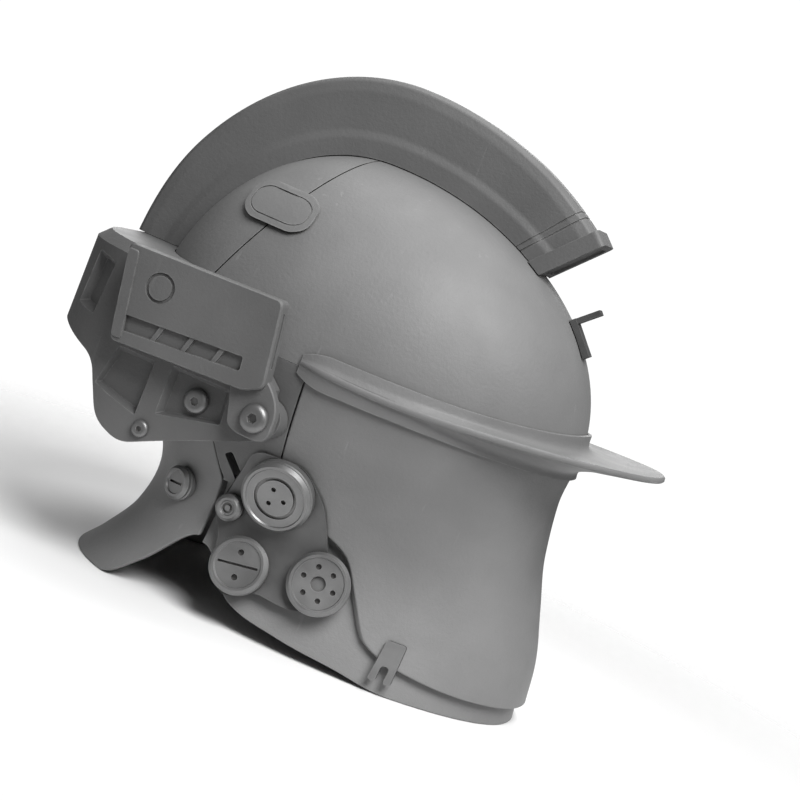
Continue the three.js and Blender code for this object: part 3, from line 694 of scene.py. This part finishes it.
def make_comb():
    grooves = [COMB_FRONT + math.radians(a) for a in (3.2, 4.6)]
    angles = set(np.linspace(COMB_FRONT, COMB_REAR, 150))
    insets = {}
    for g in grooves:
        angles = {a for a in angles if abs(a - g) > math.radians(0.3)}
        for shift, depth in ((-0.18, 0), (-0.1, 0.7), (0.1, 0.7), (0.18, 0)):
            insets[g + math.radians(shift)] = depth
    loops = []
    for angle in sorted(angles | set(insets)):
        section = comb_section(angle, insets.get(angle, 0))
        loops.append([comb_point(angle, rise, y) for rise, y in section])
    piece = loft("crest_comb", np.array(loops))
    below = block((FAR, FAR, FAR), (-FAR / 2 - 20, 0, HOUSING_TOP + GAP - FAR / 2))
    cut(piece, below)
    cut(piece, body_piece(SEAT), keep=True)
    crisp(piece)
    finish_piece(piece, "dark_shell", "comb")


def plane_frame(origin, x_axis, y_axis):
    """The move that takes the x-y plane to the one through origin along two axes."""
    x_axis, y_axis = Vector(x_axis), Vector(y_axis)
    matrix = Matrix((x_axis, y_axis, x_axis.cross(y_axis))).transposed().to_4x4()
    return Matrix.Translation(Vector(origin) * MM) @ matrix


def prism(outline, low, high, name="prism"):
    """An outline on x and y, as a piece from z = low to z = high."""
    loops = [[(x, y, h) for x, y in outline] for h in (low, high)]
    return loft(name, np.array(loops, float))


def make_comb_cap():
    height = float(COMB_RISE(COMB_FRONT)) + 3.5
    half = COMB_HALF_WIDTH + 3.5
    thick = 11.0
    forward = Vector((math.sin(COMB_FRONT), 0, -math.cos(COMB_FRONT)))
    outward = Vector((math.cos(COMB_FRONT), 0, math.sin(COMB_FRONT)))
    end = [(-half, -14), (half, -14), (half, height), (-half, height)]
    piece = prism(rounded(end, 5), 0, thick, "comb_end")
    sunk = rounded([(-half + 5, 6), (half - 5, 6), (half - 5, height - 5), (-half + 5, height - 5)], 3)
    cut(piece, prism(sunk, thick - 2, thick + 2))
    origin = Vector(comb_point(COMB_FRONT, 0, 0)) + forward * GAP
    piece.data.transform(plane_frame(origin, (0, 1, 0), outward))
    cut(piece, body_piece(SEAT), keep=True)
    soften(piece, 0.9)
    finish_piece(piece, "dark_shell", "comb_cap")


def make_brow_bracket():
    angle = math.radians(26)
    foot = Vector(comb_point(angle, 0, 0))
    rise = (Vector(comb_point(angle + 0.06, 0, 0)) - Vector(comb_point(angle - 0.06, 0, 0))).normalized()
    piece = block((12, 26, 12), (0, 0, -1.5), name="forehead_bracket")
    join(piece, block((10, 3.5, 18), (0, 11.2, 11.5)))
    hole = turned([(0, -10), (2, -10), (2, 10), (0, 10)], 32)
    hole.data.transform(Matrix.Translation(Vector((0, 11, 15)) * MM) @ Matrix.Rotation(PI / 2, 4, "X"))
    cut(piece, hole)
    piece.data.transform(plane_frame(foot, (0, 1, 0), rise))
    cut(piece, body_piece(SEAT), keep=True)
    soften(piece, 0.5)
    finish_piece(piece, "plate", "brow_bracket")


# ---------------------------------------------------------------- rear housing

def bezier(a, b, c, d, steps=20):
    """Points along a cubic curve, after its start."""
    a, b, c, d = (np.array(p, float) for p in (a, b, c, d))
    out = []
    for k in range(1, steps + 1):
        t = k / steps
        u = 1 - t
        out.append(tuple(u ** 3 * a + 3 * u ** 2 * t * b + 3 * u * t * t * c + t ** 3 * d))
    return out


HOUSING_CORNER_X = -120  # the flat side ends here, and the corner begins


def housing_plan(inset):
    """The housing's outline from above."""
    side = HOUSING_HALF_WIDTH - inset
    rear = -HALF_LENGTH + inset
    front = HOUSING_FRONT_X - inset
    corner = (HOUSING_CORNER_X, -side)
    half = [(front, -side), corner]
    half += bezier(corner, (-165, -side), (rear, -88 + inset), (rear, -46))
    return half + [(x, -y) for x, y in reversed(half)]


def housing_block(chamfer=7.0):
    """The housing's plan with chamfered top and bottom, cut to its outline in side view."""
    loops = []
    for inset, height in ((chamfer, HOUSING_FOOT_Z), (0, HOUSING_FOOT_Z + chamfer),
                          (0, HOUSING_TOP - chamfer), (chamfer, HOUSING_TOP)):
        loops.append([(x, y, height) for x, y in housing_plan(inset)])
    front, past_rear, above = HOUSING_FRONT_X + 4, -HALF_LENGTH - 30, HOUSING_TOP + 20
    outline = [
        (front, 150), (front, 121), (-78, 98), (-108, 84), (-128, 92), (-146, 126), (-188, 138),
        (past_rear, 138), (past_rear, above), (-70, above), (-52, 176)]
    return common(loft("rear_box", np.array(loops, float)), slab(rounded(outline, 9), -FAR, FAR))


BOSS_X = -71
BOSS_POCKET_DEPTH = 5

# (corners, depth, place, turn)
POCKETS = (
    ([(-14, 152), (10, 150), (14, 186), (-10, 188)], 6, (-166, 110.6), math.radians(-39)),
    ([(-18, 112), (16, 104), (16, 140), (-10, 140)], 6, (-120, HOUSING_HALF_WIDTH), 0),
    ([(-21, 110), (21, 120), (19, 142), (-21, 142)], BOSS_POCKET_DEPTH, (BOSS_X, HOUSING_HALF_WIDTH), 0),
)
POCKET_REACH = 12
POCKET_WALL = 3.6


def pocket_cutter(corners, depth, place, turn):
    """A sunk panel's hollow on the wearer's right, with walls that slope in towards its floor.

    Its corners are given along the housing's side from place, a point of the plan where the side is turned.
    """
    outline = np.array(rounded(corners, 1.5, 3))
    middle = outline.mean(0)
    floor = middle + (outline - middle) * (1 - POCKET_WALL / np.abs(outline - middle).max())
    wide = middle + (outline - middle) * 1.3
    loops = [
        [(x, -POCKET_REACH, z) for x, z in wide],
        [(x, 0, z) for x, z in outline],
        [(x, depth, z) for x, z in floor],
    ]
    cutter = loft("pocket", np.array(loops, float))
    x, y = place
    cutter.data.transform(Matrix.Translation(Vector((x, -y, 0)) * MM) @ Matrix.Rotation(turn, 4, "Z"))
    return cutter


def make_rear_housing():
    piece = housing_block()
    for side in (False, True):
        lug = side_bar(PIVOT_X, PIVOT_Z, LUG_RADIUS, LUG_INNER_Y, HOUSING_HALF_WIDTH, 64)
        bore = side_bar(PIVOT_X, PIVOT_Z, BORE, BORE_FLOOR_Y, 140)
        cutters = [pocket_cutter(*pocket) for pocket in POCKETS]
        if side:
            for other in (lug, bore, *cutters):
                mirror(other)
        join(piece, lug)
        for cutter in cutters:
            cut(piece, cutter)
        cut(piece, bore)
    cut(piece, body_piece(SEAT), keep=True)
    soften(piece, 0.5, 2, angle=20)
    finish_piece(piece, "housing", "rear_housing")


# ---------------------------------------------------------------- temple modules and fittings

def chamfered_plate(outline, inner, outer, chamfer, name="plate"):
    """A flat plate on the wearer's right with chamfered edges."""
    flat = np.array(outline)
    middle = flat.mean(0)
    toward = middle - flat
    small = flat + toward / np.linalg.norm(toward, axis=1)[:, None] * chamfer
    loops = []
    for points, y in ((small, inner), (flat, inner + chamfer), (flat, outer - chamfer), (small, outer)):
        loops.append([(x, -y, z) for x, z in points])
    return loft(name, np.array(loops, float))


def make_modules():
    face = MODULE_OUTER_Y
    corners = [(-131, 143), (-141, 203), (-36, 206), (-28, 153), (-40, 147)]
    arm_corners = [(-54, 160), (-44, 124), (-36, 121), (-16, 121), (-16, 144), (-30, 160)]
    piece = chamfered_plate(rounded(corners, 4), MODULE_INNER_Y, face, 1.2, "temple_box")
    groove = [(-127, 151), (-46, 157), (-47, 166), (-128, 161)]
    cut(piece, side_slab(rounded(groove, 2), face - 3, face + 1))
    for x in (-108, -88, -68):
        rib = [(x, 148), (x + 3, 148), (x + 10, 170), (x + 7, 170)]
        join(piece, side_slab(rib, face - 3.2, face - 0.8))
    ring_x, ring_z = -112, 184
    ring = side_bar(ring_x, ring_z, 9.5, face - 1.2, face + 1, 64)
    cut(ring, side_bar(ring_x, ring_z, 7.5, face - 2, face + 2, 64))
    cut(piece, ring)
    cut(piece, block((8, 3, 34), (-31, -face + 7, 182), Matrix.Rotation(math.radians(-8.6), 4, "Y")))
    lip = [(-131, 146), (-140, 200), (-133, 200), (-124, 146)]
    join(piece, chamfered_plate(rounded(lip, 2), face - 2, face + 1.2, 0.6))
    join(piece, chamfered_plate(rounded(arm_corners, 11), MODULE_INNER_Y, ARM_OUTER_Y, 0.8))
    cut(piece, side_bar(PIVOT_X, PIVOT_Z, BORE, 100, 200))
    soften(piece, 0.5)
    left = mirrored_copy(piece)
    for part, side in ((piece, "right"), (left, "left")):
        finish_piece(part, "dark_shell", "module_" + side, side + "_module")


def hex_socket(piece, radius, low, high):
    """Cuts a six-sided hole down a turned piece's axis."""
    hexagon = [(radius * math.cos(k * PI / 3), radius * math.sin(k * PI / 3)) for k in range(6)]
    return cut(piece, prism(hexagon, low, high))


def dome(radius, low, height, flat=0.5):
    """A domed head's profile: its edge rises a little, then curves in to a flat of the given share."""
    top = low + height
    edge = low + height * 0.3
    curve = [(radius * (1 - (1 - flat) * (1 - math.cos(a))), edge + (top - edge) * math.sin(a))
             for a in np.linspace(0, PI / 2, 9)]
    return [(radius, low), *curve]


def make_fittings():
    head = ARM_OUTER_Y + GAP
    shank = BORE - GAP
    foot = BORE_FLOOR_Y + 1
    profile = [(0, foot), (shank, foot), (shank, head), *dome(9, head, 4.8), (0, head + 4.8)]
    bolt = turned(profile, name="bolt")
    hex_socket(bolt, 3.2, head + 2.2, head + 8)
    stand(bolt, (PIVOT_X, 0, PIVOT_Z), (0, -1, 0))
    soften(bolt, 0.3)
    both_sides(bolt, "pivot_bolt", "steel")
    for node, x, z, radius, floor, height in (
            ("pocket_boss", BOSS_X, 127, 8, HOUSING_HALF_WIDTH - BOSS_POCKET_DEPTH, 4.5),
            ("housing_screw", -97, 98, 5.5, HOUSING_HALF_WIDTH, 3)):
        low = floor + GAP
        piece = turned([(0, low), *dome(radius, low, height, 0.55), (0, low + height)], name=node + "_head")
        hex_socket(piece, radius * 0.34, low + height - 1.6, low + height + 4)
        stand(piece, (x, 0, z), (0, -1, 0))
        soften(piece, 0.25)
        both_sides(piece, node, "steel")


# ---------------------------------------------------------------- discs

def holes(count, circle, radius, face, start=0.0):
    """Cutters for shallow holes on a circle in a disc's face."""
    cutters = []
    for k in range(count):
        a = start + k / count * 2 * PI
        hole = turned([(0, face - 2.5), (radius, face - 2.5), (radius, face + 2), (0, face + 2)], 32)
        hole.data.transform(Matrix.Translation(Vector((circle * math.cos(a), circle * math.sin(a), 0)) * MM))
        cutters.append(hole)
    return cutters


def ring_groove(inner, outer, face):
    """The cutter for a ring-shaped groove in a disc's face."""
    ring = turned([(0, face - 1.6), (outer, face - 1.6), (outer, face + 2), (0, face + 2)])
    cut(ring, turned([(0, face - 3), (inner, face - 3), (inner, face + 3), (0, face + 3)]))
    return [ring]


def slot_cut(length, width, face, turn):
    """The cutter for a straight slot across a disc's face, turned by degrees."""
    return [block((length, width, 4), (0, 0, face), Matrix.Rotation(math.radians(turn), 4, "Z"))]


def make_disc(node, x, z, radius, height, seat, cutters):
    """A disc on the wearer's right, square to the shell, with a raised bevelled rim and sunk details.

    cutters(r, face) gives what is cut into its sunk middle, of radius r.
    """
    point, normal = right_side(x, z)
    face = seat + height
    sunk = face - 1
    profile = [
        (0, -15), (radius, -15), (radius, face - 5), (radius - 0.7, face - 4.4), (radius - 0.7, face - 3.6),
        (radius, face - 3), (radius, face - 2), (radius - 2, face), (radius - 3.5, face),
        (radius - 4.2, sunk), (0, sunk)]
    piece = turned(profile, 96, node + "_cover")
    for cutter in cutters(radius - 4, sunk):
        cut(piece, cutter)
    stand(piece, point, normal)
    cut(piece, body_piece(seat), keep=True)
    soften(piece, 0.35)
    both_sides(piece, node, "steel")


def make_discs():
    make_disc("ear_disc", -7, 93, 23, 9, DISC_SEAT, lambda r, face: (
        ring_groove(0.62 * r, 0.74 * r, face) + holes(3, 0.3 * r, 1.6, face)))
    make_disc("jaw_disc", 36, 48, 20, 8, DISC_SEAT, lambda r, face: (
        holes(1, 0, 0.3 * r, face) + holes(6, 0.66 * r, 1.8, face)))
    make_disc("throat_disc", -13, 39, 18.5, 8, DISC_SEAT, lambda r, face: (
        slot_cut(1.8 * r, 1.6, face, 12) + holes(2, 0.55 * r, 2, face, 1.8)))
    make_disc("link_disc", -34, 71, 8.5, 8, DISC_SEAT, lambda r, face: ring_groove(0.4 * r, 0.75 * r, face))
    make_disc("nape_disc", -72, 70, 11, 7, 1.3, lambda r, face: slot_cut(1.5 * r, 1.6, face, -20))


# ---------------------------------------------------------------- materials

class Nodes:
    """A material's node tree, with short calls for the nodes used here."""

    def __init__(self, name):
        self.material = bpy.data.materials.new(name)
        self.material.use_nodes = True
        self.tree = self.material.node_tree
        self.shader = self.tree.nodes["Principled BSDF"]
        self.place = self.add("ShaderNodeTexCoord").outputs["Object"]

    def add(self, kind, **settings):
        node = self.tree.nodes.new(kind)
        for key, value in settings.items():
            setattr(node, key, value)
        return node

    def link(self, source, target):
        if isinstance(source, (int, float, tuple)):
            target.default_value = source
        else:
            self.tree.links.new(source, target)

    def noise(self, scale, detail=2.0, roughness=0.5, stretch=None):
        node = self.add("ShaderNodeTexNoise")
        place = self.place
        if stretch:
            mapping = self.add("ShaderNodeMapping")
            mapping.inputs["Scale"].default_value = stretch
            self.link(place, mapping.inputs["Vector"])
            place = mapping.outputs["Vector"]
        self.link(place, node.inputs["Vector"])
        node.inputs["Scale"].default_value = scale
        node.inputs["Detail"].default_value = detail
        node.inputs["Roughness"].default_value = roughness
        return node.outputs["Fac"]

    def ramp(self, value, low, high, start=0.0, end=1.0):
        node = self.add("ShaderNodeMapRange", clamp=True)
        self.link(value, node.inputs["Value"])
        for key, number in (("From Min", low), ("From Max", high), ("To Min", start), ("To Max", end)):
            node.inputs[key].default_value = number
        return node.outputs["Result"]

    def calculate(self, operation, a, b=0.0):
        node = self.add("ShaderNodeMath", operation=operation)
        self.link(a, node.inputs[0])
        self.link(b, node.inputs[1])
        return node.outputs[0]

    def mix(self, share, a, b):
        node = self.add("ShaderNodeMix", data_type="RGBA")
        self.link(share, node.inputs["Factor"])
        self.link(a, node.inputs["A"])
        self.link(b, node.inputs["B"])
        return node.outputs["Result"]

    def edges(self, radius):
        """1 along edges, 0 on open surfaces."""
        bevel = self.add("ShaderNodeBevel", samples=6)
        bevel.inputs["Radius"].default_value = radius
        geometry_node = self.add("ShaderNodeNewGeometry")
        dot = self.add("ShaderNodeVectorMath", operation="DOT_PRODUCT")
        self.link(bevel.outputs["Normal"], dot.inputs[0])
        self.link(geometry_node.outputs["Normal"], dot.inputs[1])
        return self.ramp(dot.outputs["Value"], 0.995, 0.86)

    def painted_shade_in_corners(self, reach):
        """1 deep in corners, 0 in the open: where painted shade goes."""
        node = self.add("ShaderNodeAmbientOcclusion", samples=4)
        node.inputs["Distance"].default_value = reach
        return self.ramp(node.outputs["AO"], 0.75, 0.25)

    def bump(self, height, strength, distance):
        node = self.add("ShaderNodeBump")
        node.inputs["Strength"].default_value = strength
        node.inputs["Distance"].default_value = distance
        self.link(height, node.inputs["Height"])
        self.link(node.outputs["Normal"], self.shader.inputs["Normal"])


def grey(value, warmth=0.0):
    """A grey, a little towards brown by warmth."""
    return (value * (1 + warmth), value, value * (1 - warmth), 1.0)


def coated(name, base, rough, wear_and_highlight):
    """Sprayed paint: an uneven tone, a fine texture, painted shade in the corners, scuffs and rubbed edges,
    which on the housing are also painted highlights.
    """
    n = Nodes(name)
    tone = n.ramp(n.noise(14, 4), 0.3, 0.7)
    colour = n.mix(tone, grey(base * 0.87), grey(base * 1.1))
    speck = n.ramp(n.noise(1400, 2), 0.62, 0.74, 0.0, 0.3)
    colour = n.mix(speck, colour, grey(base * 0.75))
    streaks = n.ramp(n.noise(190, 2, 0.5, (1, 1, 0.07)), 0.68, 0.74)
    scuff = n.calculate("MULTIPLY", streaks, n.ramp(n.noise(26, 3), 0.5, 0.62))
    colour = n.mix(n.calculate("MULTIPLY", scuff, 0.3), colour, grey(base * 1.5))
    # painted shade: darker and a little brown deep in corners and creases
    colour = n.mix(n.calculate("MULTIPLY", n.painted_shade_in_corners(0.003), 0.6), colour, grey(base * 0.42, 0.05))
    # edges rubbed bright: wear, and on the housing, where this is set high, also painted highlights on the
    # pocket rims
    rub = n.calculate("MULTIPLY", n.edges(0.0012), n.ramp(n.noise(90, 5, 0.65), 0.4, 0.6))
    rub = n.calculate("MULTIPLY", rub, wear_and_highlight)
    colour = n.mix(rub, colour, grey(base * 2.2))
    n.link(colour, n.shader.inputs["Base Color"])
    smudge = n.ramp(n.noise(30, 5, 0.6), 0.3, 0.75, rough - 0.08, rough + 0.08)
    n.link(n.calculate("SUBTRACT", smudge, n.calculate("MULTIPLY", rub, 0.15)), n.shader.inputs["Roughness"])
    n.shader.inputs["Specular IOR Level"].default_value = 0.4
    grain = n.calculate("ADD", n.noise(420, 3), n.calculate("MULTIPLY", n.noise(1600, 2), 0.4))
    n.bump(n.calculate("SUBTRACT", grain, n.calculate("MULTIPLY", scuff, 0.4)), 0.4, 0.0005)
    return n.material


def metal(name, base, rough, stretch):
    """Machined metal: fine brushing one way, dulled in patches, with painted shade in corners, and bright on
    its edges.
    """
    n = Nodes(name)
    brushed = n.noise(260, 3, 0.6, stretch)
    patches = n.noise(40, 4)
    colour = n.mix(n.ramp(patches, 0.3, 0.7), grey(base * 0.82), grey(base * 1.1))
    # painted shade: much darker and a little brown deep in corners
    colour = n.mix(n.calculate("MULTIPLY", n.painted_shade_in_corners(0.005), 0.75), colour, grey(base * 0.3, 0.06))
    rub = n.calculate("MULTIPLY", n.edges(0.0009), n.ramp(n.noise(140, 4), 0.3, 0.6))
    colour = n.mix(n.calculate("MULTIPLY", rub, 0.6), colour, grey(min(0.9, base * 1.8)))
    n.link(colour, n.shader.inputs["Base Color"])
    n.shader.inputs["Metallic"].default_value = 0.7
    dulled = n.ramp(patches, 0.3, 0.75, rough - 0.05, rough + 0.08)
    brushing = n.ramp(brushed, 0.3, 0.7, -0.04, 0.04)
    n.link(n.calculate("ADD", dulled, brushing), n.shader.inputs["Roughness"])
    n.bump(brushed, 0.15, 0.0002)
    return n.material


MATERIALS = {
    "shell": coated("shell_paint", 0.18, 0.55, 0.45),
    # the shell paint made darker as painted shade, for the comb, comb cap, side panels and temple modules
    "dark_shell": coated("shell_paint_with_painted_shade", 0.125, 0.52, 0.55),
    # the shell paint made darker still as painted shade, its edges rubbed bright as wear and partly as
    # painted highlights on the rims
    "housing": coated("housing_paint_with_painted_light", 0.115, 0.55, 0.85),
    # blasted metal, its grey lowered partly as painted shade where the disc plates sit
    "plate": metal("blasted_plate", 0.13, 0.5, (1, 1, 1)),
    "steel": metal("turned_steel", 0.22, 0.42, (1, 8, 1)),
}


def finish_piece(piece, slot, node, body="helmet"):
    """Gives a piece its material and slot, and puts it in a CAD node's place on a body."""
    piece.data.materials.clear()
    piece.data.materials.append(MATERIALS[slot])
    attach(piece, body)
    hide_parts(node)


def both_sides(right, node, slot):
    """Finishes a piece on the wearer's right and its mirror image on the left."""
    left = mirrored_copy(right)
    finish_piece(right, slot, node + "_right")
    finish_piece(left, slot, node + "_left")


# ---------------------------------------------------------------- stage, light and camera

FLOOR_RADIUS = 900.0
FLOOR_FADE = (0.24, 0.62)  # metres from the middle


def make_floor():
    """A pale round floor that fades out into the white surroundings."""
    angles = np.linspace(0, 2 * PI, 128, endpoint=False)
    rim = [(FLOOR_RADIUS * math.cos(a), FLOOR_RADIUS * math.sin(a)) for a in angles]
    floor = prism(rim, -6, -0.2, "floor")
    n = Nodes("floor_finish")
    n.shader.inputs["Base Color"].default_value = grey(0.8)
    n.shader.inputs["Roughness"].default_value = 0.9
    n.shader.inputs["Specular IOR Level"].default_value = 0.0
    distance = n.add("ShaderNodeVectorMath", operation="LENGTH")
    n.link(n.place, distance.inputs[0])
    clear = n.add("ShaderNodeBsdfTransparent")
    mixed = n.add("ShaderNodeMixShader")
    n.link(n.ramp(distance.outputs["Value"], *FLOOR_FADE), mixed.inputs["Fac"])
    n.link(n.shader.outputs["BSDF"], mixed.inputs[1])
    n.link(clear.outputs["BSDF"], mixed.inputs[2])
    n.link(mixed.outputs["Shader"], n.tree.nodes["Material Output"].inputs["Surface"])
    floor.data.materials.append(n.material)


WHITE = (1, 1, 1, 1)
WORLD_LIGHT = 0.18
WORLD_SEEN = 1.05  # how bright the surroundings are to the camera itself

# (name, direction from the middle, metres away, metres across, watts)
LAMPS = (
    ("key", (0.42, -0.5, 0.76), 1.9, 1.3, 50),
    ("top", (-0.1, 0.25, 1), 1.8, 1.2, 14),
    ("far_side", (-0.35, 0.9, 0.45), 2.2, 1.6, 20),
    ("front", (0.95, -0.2, 0.25), 1.8, 1.2, 3),
)


def make_light():
    """White surroundings and four soft round lamps."""
    world = bpy.data.worlds.new("surroundings")
    bpy.context.scene.world = world
    world.use_nodes = True
    tree = world.node_tree
    back = tree.nodes["Background"]
    back.inputs["Color"].default_value = WHITE
    seen = tree.nodes.new("ShaderNodeLightPath")
    strength = tree.nodes.new("ShaderNodeMapRange")
    tree.links.new(seen.outputs["Is Camera Ray"], strength.inputs["Value"])
    strength.inputs["To Min"].default_value = WORLD_LIGHT
    strength.inputs["To Max"].default_value = WORLD_SEEN
    tree.links.new(strength.outputs["Result"], back.inputs["Strength"])
    centre = Vector((0, 0, 0.17))
    for name, direction, distance, size, power in LAMPS:
        lamp = bpy.data.lights.new(name, "AREA")
        lamp.shape = "DISK"
        lamp.size = size
        lamp.energy = power
        light = bpy.data.objects.new(name, lamp)
        bpy.context.collection.objects.link(light)
        back_off = Vector(direction).normalized()
        light.location = centre + back_off * distance
        light.rotation_euler = back_off.to_track_quat("Z", "Y").to_euler()


CAMERA_AZIMUTH = math.radians(14)
CAMERA_ELEVATION = math.radians(6)
CAMERA_ROLL = math.radians(22)
CAMERA_LENS = 90
CAMERA_DISTANCE = 1.32
CAMERA_SHIFT = (0.0094, -0.0205)  # metres across and up the picture, from the helmet's middle


def make_camera():
    """Seen from the wearer's right, a little ahead and above, rolled so that the face dips."""
    camera = bpy.data.objects.new("camera", bpy.data.cameras.new("camera"))
    bpy.context.collection.objects.link(camera)
    bpy.context.scene.camera = camera
    camera.data.lens = CAMERA_LENS
    camera.data.clip_start, camera.data.clip_end = 0.05, 50
    low, high = CAD_BOX
    flat = math.cos(CAMERA_ELEVATION)
    back = Vector((
        math.sin(CAMERA_AZIMUTH) * flat, -math.cos(CAMERA_AZIMUTH) * flat, math.sin(CAMERA_ELEVATION)))
    target = (low + high) / 2
    turn = (-back).to_track_quat("-Z", "Y").to_matrix().to_4x4() @ Matrix.Rotation(CAMERA_ROLL, 4, "Z")
    right, up = turn.col[0].xyz, turn.col[1].xyz
    target = target + right * CAMERA_SHIFT[0] + up * CAMERA_SHIFT[1]
    camera.matrix_world = Matrix.Translation(target + back * CAMERA_DISTANCE) @ turn


make_camera()
make_light()
make_floor()
make_shells()
make_side_panels()
make_hatches()
make_disc_plates()
make_rim_clips()
make_brim()
make_comb()
make_comb_cap()
make_brow_bracket()
make_rear_housing()
make_modules()
make_fittings()
make_discs()
for helper in body_cache.values():
    discard(helper)
bpy.context.scene.view_settings.view_transform = "Standard"
